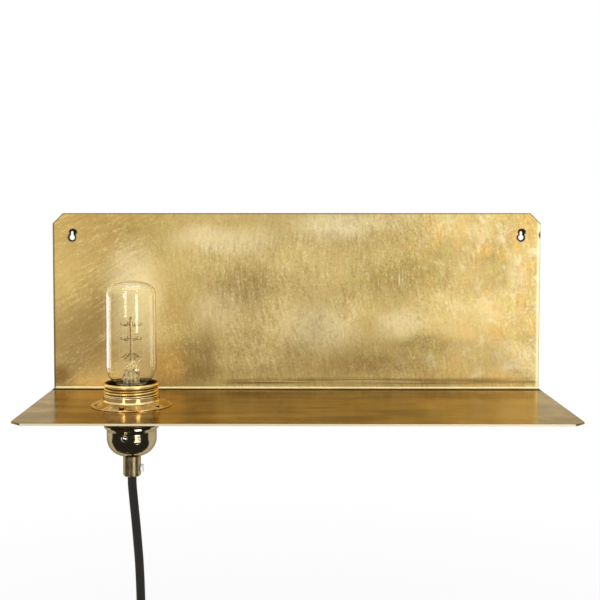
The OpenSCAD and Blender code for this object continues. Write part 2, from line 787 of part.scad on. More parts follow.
module switch_front() {
    window_w = rocker_w + 2 * window_gap;
    window_l = rocker_l + 2 * window_gap + 0.6;
    color(black) at_switch() difference() {
        switch_half(switch_front_t, 1);
        cylinder(r = channel_r, h = switch_l + 2, center = true);
        translate([-window_w / 2, -switch_front_t - 1, -window_l / 2])
            cube([window_w, switch_front_t + 1 - cord_r - 0.6, window_l]);
        translate([0, -pivot_y, 0]) rotate([0, 90, 0])
            cylinder(r = pivot_r + 0.05, h = window_w + 2 * pivot_reach, center = true);
        for (s = [-1, 1])
            translate([s * bolt_x, -bolt_reach, s * bolt_z]) rotate([-90, 0, 0])
                cylinder(r = bolt_r + face_gap, h = bolt_reach + 1);
    }
}

module switch_back() {
    color(black) at_switch() difference() {
        switch_half(switch_back_t, -1);
        cylinder(r = channel_r, h = switch_l + 2, center = true);
        for (s = [-1, 1]) translate([s * bolt_x, 0, s * bolt_z]) rotate([-90, 0, 0]) {
            translate([0, 0, -1]) cylinder(r = bolt_r + face_gap, h = switch_back_t + 2);
            translate([0, 0, bolt_seat]) cylinder(r = bolt_head_r + 0.15, h = bolt_head_t + 1);
        }
    }
}

// The rocker lies at one end of its travel. Its face is a shallow V
module switch_rocker() {
    half = rocker_l / 2;
    rise = half * tan(rocker_tip / 2);
    foot = rocker_foot / 2;
    dip = pivot_y - switch_front_t + 0.2;
    color([0.1, 0.1, 0.1]) at_switch() translate([0, -pivot_y, 0]) rotate([-rocker_tip / 2, 0, 0]) {
        translate([-rocker_w / 2, 0, 0]) rotate([90, 0, 90]) linear_extrude(height = rocker_w) polygon([
            [dip, 0], [dip - rise, half], [foot, half - 1.2], [foot, 1.2 - half], [dip - rise, -half]
        ]);
        rotate([0, 90, 0]) cylinder(r = pivot_r, h = rocker_w + 2 * pivot_reach, center = true);
    }
}

module switch_screws() {
    color(steel) at_switch() for (s = [-1, 1])
        translate([s * bolt_x, bolt_seat + face_gap, s * bolt_z]) rotate([-90, 0, 0]) {
            translate([0, 0, 0.3 - bolt_reach - bolt_seat]) cylinder(r = bolt_r, h = bolt_reach + bolt_seat);
            slotted_head(bolt_head_r, bolt_head_t - 0.2, 0.6);
        }
}

// Plug: a flat round body with its cord at the side

module at_plug() { at_coil() translate([plug_at[0], 0, plug_at[2]]) rotate([90, 0, 0]) children(); }

module plug_body() {
    color(black) at_plug() difference() {
        union() {
            rotate_extrude() polygon([
                [0, plug_back], [plug_r - 3, plug_back], [plug_r - 0.8, plug_back + 1.2],
                [plug_r, plug_back + 4], [plug_r, plug_front - 1], [plug_r - 1, plug_front], [0, plug_front]
            ]);
            translate([0, -neck_half, lead_y - neck_half + 0.8])
                cube([plug_r + 1, 2 * neck_half, 2 * neck_half - 1.6]);
        }
        for (side = [-1, 1]) {
            translate([side * pin_space / 2, 0, plug_front - pin_seat - 0.5])
                cylinder(d = pin_d + slide_gap, h = pin_seat + 1);
            translate([-recess_w / 2, side > 0 ? plug_r - recess_d : -plug_r - 1, plug_front - recess_l])
                cube([recess_w, recess_d + 1, recess_l + 1]);
        }
        translate([plug_r - 6, 0, lead_y]) rotate([0, 90, 0]) cylinder(r = cord_r + slide_gap, h = 8);
    }
}

// Ribbed sleeve that keeps the cord from kinking where it leaves the plug
module plug_relief() {
    rib = 3;
    root = cord_r + 2.6;
    color(black) at_plug() translate([plug_r + 1 + face_gap, 0, lead_y]) rotate([0, 90, 0]) difference() {
        rotate_extrude() polygon(concat(
            [[0, 0], [root, 0]],
            [for (i = [0:5], k = [0:1]) [root - 0.1 - 0.25 * i - 0.7 * k, rib * (i + 0.5 + k * 0.55)]],
            [[cord_r + 1, relief_l - 1], [cord_r + 0.6, relief_l], [0, relief_l]]
        ));
        translate([0, 0, -1]) cylinder(r = cord_r + face_gap, h = relief_l + 2);
    }
}

module plug_pins() {
    r = pin_d / 2;
    top = pin_seat + pin_l;
    color(steel) at_plug() for (side = [-1, 1]) translate([side * pin_space / 2, 0, plug_front - pin_seat])
        rotate_extrude() polygon([[0, 0], [r, 0], [r, top - 1.2], [r - 1.2, top], [0, top]]);
}

// Earth strips: they lie in the two recesses in the plug's rim
module plug_earth_strips() {
    w = recess_w - 2;
    t = 0.8;
    inner = plug_r - recess_d + face_gap;
    color(steel) at_plug() for (side = [-1, 1])
        translate([-w / 2, side > 0 ? inner : -inner - t, plug_front - recess_l + face_gap])
            cube([w, t, recess_l - 0.5]);
}

bent_plate();
upper_ring();
lower_ring();
threaded_skirt();
holder_cap();
cap_lock_screw();
ceramic_core();
screw_shell();
centre_contact();
side_contact();
contact_screws();
live_terminal();
neutral_terminal();
earth_terminal();
terminal_screws();
cord_grip();
grip_nut();
grip_screw();
cord_sheath_end();
live_wire();
neutral_wire();
earth_wire();
bulb_glass();
bulb_screw_cap();
bulb_insulator();
bulb_contact();
bulb_stem();
bulb_leads();
filament_hooks();
filament();
cord();
cord_coil();
coil_tie();
plug_lead();
switch_front();
switch_back();
switch_rocker();
switch_screws();
plug_body();
plug_relief();
plug_pins();
plug_earth_strips();
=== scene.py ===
import math

import bmesh
import bpy
from mathutils import Matrix, Vector


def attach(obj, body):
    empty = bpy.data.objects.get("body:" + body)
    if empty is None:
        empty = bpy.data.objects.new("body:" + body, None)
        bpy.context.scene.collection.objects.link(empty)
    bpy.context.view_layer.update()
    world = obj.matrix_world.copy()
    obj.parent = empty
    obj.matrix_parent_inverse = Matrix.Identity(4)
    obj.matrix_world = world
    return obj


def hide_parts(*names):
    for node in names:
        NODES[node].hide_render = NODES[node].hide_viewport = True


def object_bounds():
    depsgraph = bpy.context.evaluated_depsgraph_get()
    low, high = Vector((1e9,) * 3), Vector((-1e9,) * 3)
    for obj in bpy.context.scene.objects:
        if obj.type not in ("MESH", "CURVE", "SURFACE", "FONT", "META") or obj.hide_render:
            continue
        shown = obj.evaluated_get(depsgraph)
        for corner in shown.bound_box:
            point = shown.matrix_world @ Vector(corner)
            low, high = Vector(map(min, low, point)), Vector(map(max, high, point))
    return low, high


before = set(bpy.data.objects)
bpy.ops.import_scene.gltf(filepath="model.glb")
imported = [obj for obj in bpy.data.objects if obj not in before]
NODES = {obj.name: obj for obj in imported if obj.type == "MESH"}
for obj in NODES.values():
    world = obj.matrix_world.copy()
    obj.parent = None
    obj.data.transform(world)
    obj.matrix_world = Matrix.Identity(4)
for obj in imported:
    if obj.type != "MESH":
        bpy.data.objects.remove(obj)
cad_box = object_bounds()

# The wall lamp's looks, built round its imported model. Lengths are in metres unless a comment or a name says
# millimetres. The origin lies on the wall, midway between the wall holes: +X right, +Y into it, +Z up.

MM = 0.001
SHELF_Z = -0.1245                   # the top of the shelf
LAMP = (-0.125, -0.075, SHELF_Z)    # the lamp's axis where it passes the top of the shelf
UV_NAME = "run"                     # a tube's map: the share of a turn and the metres along it


# ---------------------------------------------------------------- camera

PICTURE_PX = 600
SENSOR_MM = 36
FOCAL_PX = 1052.9
CENTRE_PX = (283.6, 262.5)
CAMERA_PLACE = (-0.0051, -0.8648, 0.0247)
CAMERA_PITCH = math.radians(3)
CAMERA_YAW = math.radians(0.35)


def make_camera():
    data = bpy.data.cameras.new("camera")
    data.sensor_width = SENSOR_MM
    data.lens = FOCAL_PX * SENSOR_MM / PICTURE_PX
    data.shift_x = (PICTURE_PX / 2 - CENTRE_PX[0]) / PICTURE_PX
    data.shift_y = (CENTRE_PX[1] - PICTURE_PX / 2) / PICTURE_PX
    data.clip_start = 0.01
    camera = bpy.data.objects.new("camera", data)
    camera.location = CAMERA_PLACE
    camera.rotation_euler = (math.pi / 2 - CAMERA_PITCH, 0, CAMERA_YAW)
    bpy.context.scene.collection.objects.link(camera)
    bpy.context.scene.camera = camera


make_camera()


# ---------------------------------------------------------------- mesh helpers

def new_object(name, mesh):
    thing = bpy.data.objects.new(name, mesh)
    bpy.context.scene.collection.objects.link(thing)
    return thing


def smooth(mesh, angle=35):
    """Smooth shading with creases where faces meet at more than angle degrees."""
    mesh.shade_smooth()
    mesh.set_sharp_from_angle(angle=math.radians(angle))


def spline(points, step):
    """Points a step apart along a Catmull-Rom curve through the given points."""
    per_span = 24
    dense = []
    last = len(points) - 1
    for i in range(last):
        a, b, c, d = (points[max(0, min(last, k))] for k in (i - 1, i, i + 1, i + 2))
        for k in range(per_span):
            t = k / per_span
            dense.append(0.5 * (2 * b + (c - a) * t + (2 * a - 5 * b + 4 * c - d) * t * t
                                + (3 * b - 3 * c + d - a) * t * t * t))
    dense.append(points[-1])
    lengths = [0.0]
    for a, b in zip(dense, dense[1:]):
        lengths.append(lengths[-1] + (b - a).length)
    count = max(2, round(lengths[-1] / step))
    even = []
    k = 0
    for i in range(count + 1):
        target = lengths[-1] * i / count
        while k < len(dense) - 2 and lengths[k + 1] < target:
            k += 1
        span = lengths[k + 1] - lengths[k]
        even.append(dense[k].lerp(dense[k + 1], (target - lengths[k]) / span if span > 0 else 0))
    return even


def tube(name, path, radius, sides=16):
    """A round tube along a path, closed at both ends. Its UV map gives the share of a turn round the tube
    and the metres along it. radius may be a number or a function of the share of the length."""
    radius_at = radius if callable(radius) else lambda share: radius
    mesh = bpy.data.meshes.new(name)
    made = bmesh.new()
    layer = made.loops.layers.uv.new(UV_NAME)
    normal = None
    rings = []
    along = [0.0]
    for i, point in enumerate(path):
        ahead = (path[min(i + 1, len(path) - 1)] - path[max(i - 1, 0)]).normalized()
        if normal is None:
            normal = ahead.orthogonal().normalized()
        normal = (normal - ahead * normal.dot(ahead)).normalized()
        side = ahead.cross(normal)
        r = radius_at(i / (len(path) - 1))
        rings.append([
            made.verts.new(point + r * (math.cos(a) * normal + math.sin(a) * side))
            for a in (2 * math.pi * k / sides for k in range(sides))])
        if i:
            along.append(along[-1] + (point - path[i - 1]).length)
    for i in range(len(rings) - 1):
        for k in range(sides):
            n = (k + 1) % sides
            face = made.faces.new((rings[i][k], rings[i][n], rings[i + 1][n], rings[i + 1][k]))
            corners = ((k, i), (k + 1, i), (k + 1, i + 1), (k, i + 1))
            for loop, (turn, row) in zip(face.loops, corners):
                loop[layer].uv = (turn / sides, along[row])
    made.faces.new(list(reversed(rings[0])))
    made.faces.new(rings[-1])
    made.to_mesh(mesh)
    made.free()
    smooth(mesh, 50)
    return new_object(name, mesh)


def lathe(name, outline, centre, steps=128, shape=None, crease=35, closed=True):
    """A turned piece about the vertical line through centre, from (radius, height) points in millimetres.
    shape(radius, height, angle) may change a point's radius and height, as for a screw thread."""
    mesh = bpy.data.meshes.new(name)
    made = bmesh.new()
    centre = Vector(centre)
    rings = []
    for radius, height in outline:
        on_axis = radius < 1e-6
        ring = []
        for k in range(1 if on_axis else steps):
            angle = 2 * math.pi * k / steps
            r, h = shape(radius, height, angle) if shape else (radius, height)
            ring.append(made.verts.new(
                centre + MM * Vector((r * math.cos(angle), r * math.sin(angle), h))))
        rings.append(ring)
    pairs = list(zip(rings, rings[1:]))
    if closed and len(rings[0]) > 1 and len(rings[-1]) > 1:
        pairs.append((rings[-1], rings[0]))
    for low, high in pairs:
        for k in range(steps):
            n = (k + 1) % steps
            if len(low) == 1 and len(high) == 1:
                continue
            if len(low) == 1:
                made.faces.new((low[0], high[n], high[k]))
            elif len(high) == 1:
                made.faces.new((low[k], low[n], high[0]))
            else:
                made.faces.new((low[k], low[n], high[n], high[k]))
    bmesh.ops.recalc_face_normals(made, faces=made.faces)
    made.to_mesh(mesh)
    made.free()
    smooth(mesh, crease)
    return new_object(name, mesh)


def rounded(corners, arc_steps=4):
    """A closed outline with its corners rounded. Each corner is (radius, height, rounding)."""
    outline = []
    count = len(corners)
    for i, (x, y, rounding) in enumerate(corners):
        here = Vector((x, y))
        before = Vector(corners[i - 1][:2])
        after = Vector(corners[(i + 1) % count][:2])
        a, b = (before - here).normalized(), (after - here).normalized()
        half = a.angle(b) / 2 if a.length and b.length else math.pi / 2
        if rounding <= 0 or half > math.radians(88):
            outline.append((x, y))
            continue
        reach = rounding / math.tan(half)
        middle = here + (a + b).normalized() * (rounding / math.sin(half))
        start, end = here + a * reach - middle, here + b * reach - middle
        for k in range(arc_steps + 1):
            spoke = start.lerp(end, k / arc_steps).normalized() * rounding
            outline.append(tuple(middle + spoke))
    return outline


# ---------------------------------------------------------------- cord, its coil and its plug

CORD_D = 6.8 * MM
CORD_EXIT = Vector((-125, -75, -178.8))
COIL_MIDDLE = CORD_EXIT + Vector((6, 10.4, -216))
# The route from the exit down through the switch to the coil, and from the coil to the plug, in millimetres
CORD_ROUTE = (
    (0, 0, 0), (0, 0, -6), (0.6, 0, -14), (1.6, 0, -25), (2.7, 0, -37), (3.9, 0, -52), (4.9, 0, -66),
    (5.6, 0, -82), (6, 0, -98), (6, 0, -112), (6, 0, -128), (6, 0, -146),
    (5, 0, -155), (1.5, 0, -164), (-5, 0, -172), (-14, 0, -178.5))
LEAD_ROUTE = (
    (33.5, -12.5, -12), (35.5, -15, 0), (31.5, -18, 14.5), (21, -20.5, 25),
    (6.5, -22, 29), (1, -22, 29), (-12, -22, 29), (-24, -22, 29))
COIL_OUTER_R = 42.4
COIL_INNER_R = 35.5
COIL_PITCH = 6.9
COIL_STARTS = 120        # angle where the cord joins the coil, counted from +X towards +Z
COIL_TURNS_IN = (1310, 1380)    # between these the cord moves from the outer to the inner layer
COIL_ENDS = 2360         # the cord leaves the coil after this angle
COIL_SHIFT = 50          # degrees in which the cord moves aside, from one turn to the next
COIL_LAST_SHIFT = 60     # the same where it leaves the coil
COIL_MIDDLE_TURN = 1.5   # the outer layer's turns are 0 to 3, so the coil's middle lies here
COIL_STEP = 10           # degrees between the points of the route
CORD_STEP = 3 * MM


def blend(x, start, end):
    """0 before start, 1 after end, smooth between."""
    t = max(0.0, min(1.0, (x - start) / (end - start)))
    return t * t * (3 - 2 * t)


def coil_point(turned):
    """Where the cord is after that many degrees of the coil, measured from the coil's middle."""
    inner_from, inner_by = COIL_TURNS_IN
    outer = 1 - blend(turned, inner_from, inner_by)
    radius = COIL_INNER_R + (COIL_OUTER_R - COIL_INNER_R) * outer
    aside = sum(blend(turned, end - COIL_SHIFT, end) for end in (360, 720, 1080))
    aside -= sum(blend(turned, end - COIL_SHIFT, end) for end in (inner_by + 360, inner_by + 720))
    aside -= blend(turned, COIL_ENDS - COIL_LAST_SHIFT, COIL_ENDS)
    angle = math.radians(COIL_STARTS + turned)
    depth = COIL_PITCH * (aside - COIL_MIDDLE_TURN)
    return Vector((radius * math.cos(angle), depth, radius * math.sin(angle)))


def cord_path():
    points = [CORD_EXIT + Vector(p) for p in CORD_ROUTE]
    points += [COIL_MIDDLE + coil_point(turned) for turned in range(0, COIL_ENDS + 1, COIL_STEP)]
    points += [COIL_MIDDLE + Vector(p) for p in LEAD_ROUTE]
    return spline([p * MM for p in points], CORD_STEP)


def make_cord():
    cord = tube("textile_cord", cord_path(), CORD_D / 2)
    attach(cord, "root")
    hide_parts("cord", "cord_coil", "plug_lead")
    return cord


def declare_cord():
    """Works out the cord's path once more, and keeps nothing of it."""
    cord_path()


cord = make_cord()


# ---------------------------------------------------------------- lampholder and bulb, turned and wound

# The pieces below are drawn in millimetres from LAMP, and a point of an outline is (radius, height)
SKIRT_ROOT_R = 19.4
SKIRT_CREST_R = 20.6
SKIRT_PITCH = 2.3
SKIRT_THREAD = (-14.2, 13.9)    # the thread's two ends
SKIRT_SHARPNESS = 0.65          # under 1, the crests are broad and the grooves narrow
SKIRT_LIP = (19.6, 15.88)       # the middle of the rolled lip
SKIRT_LIP_R = 1.32
CAP_ROOT_R = 12.1
CAP_CREST_R = 13.1
CAP_INNER_R = 11.7
CAP_PITCH = 3.629
CAP_THREAD = (-9.4, 8.2)


def threaded(root_r, crest_r, pitch, low, high, sharpness=1.0):
    """A shape for lathe(): a helical thread on the points at the root radius between two heights."""
    def shape(radius, height, angle):
        if abs(radius - root_r) > 0.02 or not low <= height <= high:
            return radius, height
        wave = 0.5 + 0.5 * math.cos(2 * math.pi * height / pitch - angle)
        fade = blend(height, low, low + pitch / 2) * (1 - blend(height, high - pitch / 2, high))
        return root_r + (crest_r - root_r) * fade * wave ** sharpness, height
    return shape


def evenly(start, end, step):
    """Values from start to end, about a step apart."""
    count = round(abs(end - start) / step)
    return [start + (end - start) * i / count for i in range(count + 1)]


def make_skirt():
    thread = [(SKIRT_ROOT_R, z) for z in evenly(*SKIRT_THREAD, 0.19)]
    lip_r, lip_z = SKIRT_LIP
    turns = [math.radians(a) for a in range(-80, 186, 14)]
    lip = [(lip_r + SKIRT_LIP_R * math.cos(a), lip_z + SKIRT_LIP_R * math.sin(a)) for a in turns]
    outline = ([(17.1, -24), (17.9, -24), (17.9, -15.3), (18.2, -15), (19.3, -15), (19.6, -14.7)]
               + thread + lip + [(18.9, 15), (18.9, -13.6), (18.5, -14), (17.1, -14)])
    skirt = lathe("skirt_turned", outline, LAMP, 144,
                  threaded(SKIRT_ROOT_R, SKIRT_CREST_R, SKIRT_PITCH, *SKIRT_THREAD, SKIRT_SHARPNESS), 40)
    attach(skirt, "root")
    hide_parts("threaded_skirt")
    return skirt


def make_bulb_cap():
    low, high = CAP_THREAD
    thread = [(CAP_ROOT_R, z) for z in evenly(low, high, 0.3)]
    outline = (thread + [(12.6, 8.5), (13.1, 9.0), (13.2, 10.0), (13.4, 11.6), (13.1, 12.0), (12.65, 12.0),
                         (12.65, 8.6), (CAP_INNER_R, high), (CAP_INNER_R, low)])
    cap = lathe("bulb_cap_rolled", outline, LAMP, 96,
                threaded(CAP_ROOT_R, CAP_CREST_R, CAP_PITCH, low, high), 40)
    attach(cap, "bulb")
    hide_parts("bulb_screw_cap")
    return cap


# The stem: a glass flare that narrows to a pinch, from which a thin rod carries the hooks
ROD_R = 1.25
ROD_TOP = 67
FOLDS_START = (14, 18)      # heights between which the stem's folds grow, and between which they fade
FOLDS_END = (30, 33.5)
WAIST_Z = 26.5
WAIST_SPREAD = 2.2
HOOK_R = 7.3
HOOK_LEVELS = (38, 50, 61)
HOOKS_PER_LEVEL = 6
LEAD_WIRE_R = 0.24 * MM
FILAMENT_R = 0.04 * MM
FILAMENT_DROP = 0.4         # how far the filament lies under the middle of a hook
BELOW_LOW_HOOK = 1.6        # and, beside the lowest hooks, how much further
LEAD_BELOW_HOOK = 1.4


def pinched(radius, height, angle):
    """The uneven folds left where the stem was pinched while hot. The rod has none."""
    on_rod = radius <= 2
    folds = 0 if on_rod else blend(height, *FOLDS_START) * (1 - blend(height, *FOLDS_END))
    waist = math.exp(-((height - WAIST_Z) / WAIST_SPREAD) ** 2)
    waves = (0.7 * math.cos(6 * angle + 0.5 * height) + 0.4 * math.cos(11 * angle - 0.8 * height)
             + 0.5 * math.sin(3 * angle + 1.1 * height) - 0.9 * waist)
    return radius + folds * waves, height + 0.8 * folds * math.cos(5 * angle)


def make_stem():
    outline = [(0.0, 14.0), (9.0, 12.2), (11.6, 8.9), (11.6, 9.7), (9.6, 13.0), (7.8, 15.6)]
    outline += [(5.9 - 0.9 * blend(z, 19, 31), z) for z in evenly(17.5, 31, 0.75)]
    outline += [(4.4, 32.0), (3.0, 32.7), (ROD_R + 0.5, 33.4), (ROD_R, 35.0), (ROD_R, 59.6), (1.7, 60.6),
                (1.8, 62.0), (1.3, 63.4), (ROD_R - 0.1, 65.0), (0.8, 66.6), (0.0, ROD_TOP)]
    stem = lathe("bulb_stem_blown", outline, LAMP, 96, pinched, 60, closed=False)
    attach(stem, "bulb")
    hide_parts("bulb_stem")
    return stem


def lamp_point(radius, degrees, height):
    turn = math.radians(degrees)
    return Vector(LAMP) + MM * Vector((radius * math.cos(turn), radius * math.sin(turn), height))


def joined(name, parts):
    """One object from several, in place of them."""
    made = bmesh.new()
    for part in parts:
        made.from_mesh(part.data)
        bpy.data.objects.remove(part)
    mesh = bpy.data.meshes.new(name)
    made.to_mesh(mesh)
    made.free()
    smooth(mesh, 50)
    return new_object(name, mesh)


def hook_angle(i):
    return 360 * i / HOOKS_PER_LEVEL


# Each hook as (radius, height over its level): the lowest slope down, the others end in a curl
HOOK_SLOPE = ((0.9, 1.6), (2.5, 1.1), (4.5, -0.3), (6.3, -1.8), (7.3, -2.5), (7.7, -2.2), (7.5, -1.5))
HOOK_TICK = ((0.9, 0.5), (2.6, 0.3), (4.4, -0.4), (6.0, -0.6), (7.2, -0.4), (7.8, 0.4), (7.5, 1.1),
             (6.9, 1.0))


def swelling(share):
    """The radius of a hook's wire, thin at the rod and thicker where it carries the filament."""
    return (0.12 + 0.17 * blend(share, 0.15, 0.45)) * MM


def make_hooks():
    """Support wires that start in the rod."""
    wires = []
    for level, height in enumerate(HOOK_LEVELS):
        shape = HOOK_SLOPE if level == 0 else HOOK_TICK
        for i in range(HOOKS_PER_LEVEL):
            a = hook_angle(i)
            path = [lamp_point(r, a, height + dz) for r, dz in shape]
            wires.append(tube("wire", spline(path, 0.4 * MM), swelling, 6))
    hooks = joined("filament_hooks_bent", wires)
    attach(hooks, "bulb")
    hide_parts("filament_hooks")
    return hooks


def make_leads():
    wires = []
    for side in (-1, 1):
        path = [lamp_point(side * r, 0, z) for r, z in (
            (3.4, 20), (3.4, 27), (3.8, 30), (5.4, 32.4), (6.9, 34.4), (HOOK_R + 0.1, 36.4))]
        wires.append(tube("wire", spline(path, 0.6 * MM), LEAD_WIRE_R, 8))
    leads = joined("bulb_leads_bent", wires)
    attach(leads, "bulb")
    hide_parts("bulb_leads")
    return leads


def make_filament():
    """A fine wire that runs up and down between the lowest and the highest hooks, a little slack."""
    low, middle, high = (h - FILAMENT_DROP for h in HOOK_LEVELS)
    points = [lamp_point(HOOK_R + 0.1, 0, low - LEAD_BELOW_HOOK)]
    for i in range(HOOKS_PER_LEVEL):
        rising = (low - BELOW_LOW_HOOK, middle, high)
        for height in rising if i % 2 == 0 else reversed(rising):
            points.append(lamp_point(HOOK_R + (0.0 if height == middle else 0.15), hook_angle(i), height))
    points.append(lamp_point(-HOOK_R - 0.1, 0, low - LEAD_BELOW_HOOK))
    filament = tube("filament_wound", spline(points, 0.5 * MM), FILAMENT_R, 5)
    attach(filament, "bulb")
    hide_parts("filament")
    return filament


# ---------------------------------------------------------------- coil's tie, lock screw and soft edges

TIE_ANGLE = 78          # where the tie sits on the coil, counted from +X towards +Z
TIE_OUT = 39            # millimetres from the coil's middle to the middle of the strap's loop
TIE_HALF_LOOP = (7.2, 14.0)
TIE_CORNER = 3.4
TIE_W = 7 * MM
TIE_THICKNESS = 0.9 * MM
LOCK_ANGLE = -98        # the turn of the lock screw's axis round the lamp's
LOCK_Z = -22            # and its height from the top of the shelf, in millimetres


def strap(name, path, width, thickness, across):
    """A closed band along a loop of points. across is the direction of its width."""
    mesh = bpy.data.meshes.new(name)
    made = bmesh.new()
    across = Vector(across).normalized()
    half = width / 2
    rounding = 0.35 * thickness
    section = rounded([(-half, 0, rounding), (half, 0, rounding), (half, thickness, rounding),
                       (-half, thickness, rounding)], 2)
    rings = []
    for i, point in enumerate(path):
        ahead = (path[(i + 1) % len(path)] - path[i - 1]).normalized()
        out = ahead.cross(across)
        rings.append([made.verts.new(point + across * u + out * v) for u, v in section])
    for low, high in zip(rings, rings[1:] + rings[:1]):
        for k in range(len(section)):
            n = (k + 1) % len(section)
            made.faces.new((low[k], low[n], high[n], high[k]))
    bmesh.ops.recalc_face_normals(made, faces=made.faces)
    made.to_mesh(mesh)
    made.free()
    smooth(mesh, 50)
    return new_object(name, mesh)


def make_tie():
    middle = COIL_MIDDLE * MM
    turn = math.radians(TIE_ANGLE)
    out = Vector((math.cos(turn), 0, math.sin(turn)))
    depth = Vector((0, 1, 0))
    half_w, half_d = TIE_HALF_LOOP
    loop = rounded([(-half_w, -half_d, TIE_CORNER), (half_w, -half_d, TIE_CORNER),
                    (half_w, half_d, TIE_CORNER), (-half_w, half_d, TIE_CORNER)], 6)
    path = [middle + MM * (out * (TIE_OUT + u) + depth * v) for u, v in loop]
    tie = strap("coil_strap", path, TIE_W, TIE_THICKNESS, out.cross(depth))
    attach(tie, "root")
    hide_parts("coil_tie")
    return tie


def make_lock_screw():
    """A domed head and its shank, lying along a spoke of the cap."""
    outline = [(0.0, 21.15), (0.8, 21.1), (1.5, 20.9), (2.05, 20.5), (2.4, 19.9), (2.45, 19.3), (1.3, 19.2),
               (1.3, 16.4), (0.0, 16.3)]
    screw = lathe("lock_screw_domed", outline, (0, 0, 0), 48, crease=50, closed=False)
    spoke = Matrix.Rotation(math.radians(LOCK_ANGLE), 4, "Z") @ Matrix.Rotation(math.radians(90), 4, "Y")
    screw.data.transform(Matrix.Translation(Vector(LAMP) + Vector((0, 0, LOCK_Z * MM))) @ spoke)
    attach(screw, "root")
    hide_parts("cap_lock_screw")
    return screw


def soften(width, *names):
    """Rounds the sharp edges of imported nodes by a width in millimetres."""
    for name in names:
        bevel = NODES[name].modifiers.new("soft_edges", "BEVEL")
        bevel.width = width * MM
        bevel.segments = 3
        bevel.limit_method = "ANGLE"
        bevel.angle_limit = math.radians(40)
        bevel.harden_normals = True


skirt = make_skirt()
bulb_cap = make_bulb_cap()
stem = make_stem()
hooks = make_hooks()
leads = make_leads()
filament = make_filament()
tie = make_tie()
declare_cord()
lock_screw = make_lock_screw()
soften(0.25, "bent_plate")
soften(0.5, "switch_front", "switch_back", "switch_rocker")
soften(0.4, "plug_body")


# ---------------------------------------------------------------- materials

def srgb(red, green, blue):
    """A linear colour from 0 to 255 screen values."""
    def linear(value):
        value /= 255
        return value / 12.92 if value <= 0.04045 else ((value + 0.055) / 1.055) ** 2.4
    return (linear(red), linear(green), linear(blue), 1)


class Nodes:
    """Short ways to add and join the nodes of a tree."""

    def __init__(self, tree):
        self.tree = tree

    def add(self, kind, sockets=None, **settings):
        node = self.tree.nodes.new(kind)
        for key, value in settings.items():
            setattr(node, key, value)
        for key, value in (sockets or {}).items():
            self.put(node.inputs[key], value)
        return node

    def put(self, socket, value):
        if isinstance(value, bpy.types.NodeSocket):
            self.tree.links.new(value, socket)
        else:
            socket.default_value = value

    def math(self, operation, a, b=0.0, c=0.0):
        node = self.add("ShaderNodeMath", {0: a, 1: b, 2: c}, operation=operation)
        return node.outputs[0]

    def range(self, value, low, high, to_low=0.0, to_high=1.0, smoothly=True):
        return self.add("ShaderNodeMapRange", {
            "Value": value, "From Min": low, "From Max": high, "To Min": to_low, "To Max": to_high},
            interpolation_type="SMOOTHSTEP" if smoothly else "LINEAR").outputs["Result"]

    def mix(self, share, a, b):
        return self.add("ShaderNodeMix", {0: share, 6: a, 7: b}, data_type="RGBA").outputs[2]

    def mix_value(self, share, a, b):
        return self.add("ShaderNodeMix", {0: share, 2: a, 3: b}, data_type="FLOAT").outputs[0]

    def axes(self, place):
        return self.add("ShaderNodeSeparateXYZ", {0: place}).outputs


class Finish(Nodes):
    """A material. Its patterns lie in the object's own coordinates unless a place is given."""

    def __init__(self, name, **constants):
        self.material = bpy.data.materials.new(name)
        self.material.use_nodes = True
        super().__init__(self.material.node_tree)
        self.surface = self.tree.nodes["Principled BSDF"]
        self.place = self.add("ShaderNodeTexCoord").outputs["Object"]
        for socket, value in constants.items():
            self.surface.inputs[socket.replace("_", " ")].default_value = value

    def set(self, socket, value):
        self.put(self.surface.inputs[socket], value)

    def axes(self, place=None):
        return super().axes(place or self.place)

    def from_lamp(self):
        """The object's coordinates, measured from LAMP."""
        return self.add("ShaderNodeVectorMath", {0: self.place, 1: LAMP}, operation="SUBTRACT").outputs[0]

    def stretched(self, scale, turn=(0, 0, 0), place=None):
        return self.add("ShaderNodeMapping", {
            "Vector": place or self.place, "Scale": scale, "Rotation": turn}).outputs["Vector"]

    def noise(self, scale, detail=3, roughness=0.5, distortion=0, place=None):
        return self.add("ShaderNodeTexNoise", {
            "Vector": place or self.place, "Scale": scale, "Detail": detail,
            "Roughness": roughness, "Distortion": distortion}).outputs["Fac"]

    def swirled(self, reach, scale):
        """The object's coordinates, pushed about by up to half of reach by a noise."""
        push = self.add("ShaderNodeTexNoise", {"Vector": self.place, "Scale": scale, "Detail": 1})
        push = self.add("ShaderNodeVectorMath", {0: push.outputs["Color"], 1: (0.5, 0.5, 0.5)},
                        operation="SUBTRACT").outputs[0]
        return self.add("ShaderNodeVectorMath", {0: push, 1: (reach, reach, reach), 2: self.place},
                        operation="MULTIPLY_ADD").outputs[0]

    def bump(self, height, strength, distance, normal=None):
        node = self.add("ShaderNodeBump", {
            "Height": height, "Strength": strength, "Distance": distance})
        if normal:
            self.put(node.inputs["Normal"], normal)
        return node.outputs["Normal"]


def paint(thing, material):
    thing.data.materials.clear()
    thing.data.materials.append(material)


def paint_nodes(material, *names):
    for name in names:
        paint(NODES[name], material)


# The sheet: its back's upper edge, half its width, its shelf's front edge, and what is cut from it
PLATE_TOP_Z = 0.02
PLATE_HALF_W = 0.2
SHELF_FRONT_Y = -0.146
KEYHOLE_X_MM = 184
CORNER_CLIP = 0.0085
SHELF_LOOK_FROM = (-0.0025, -0.005)    # y between which the back's look turns into the shelf's
BEND_SHADOW_FROM = (-0.0140, -0.0110)         # y between which the painted shadow along the bend sets in
SHEET_METAL = 0.7                      # the rest of the back is matt, like old lacquer
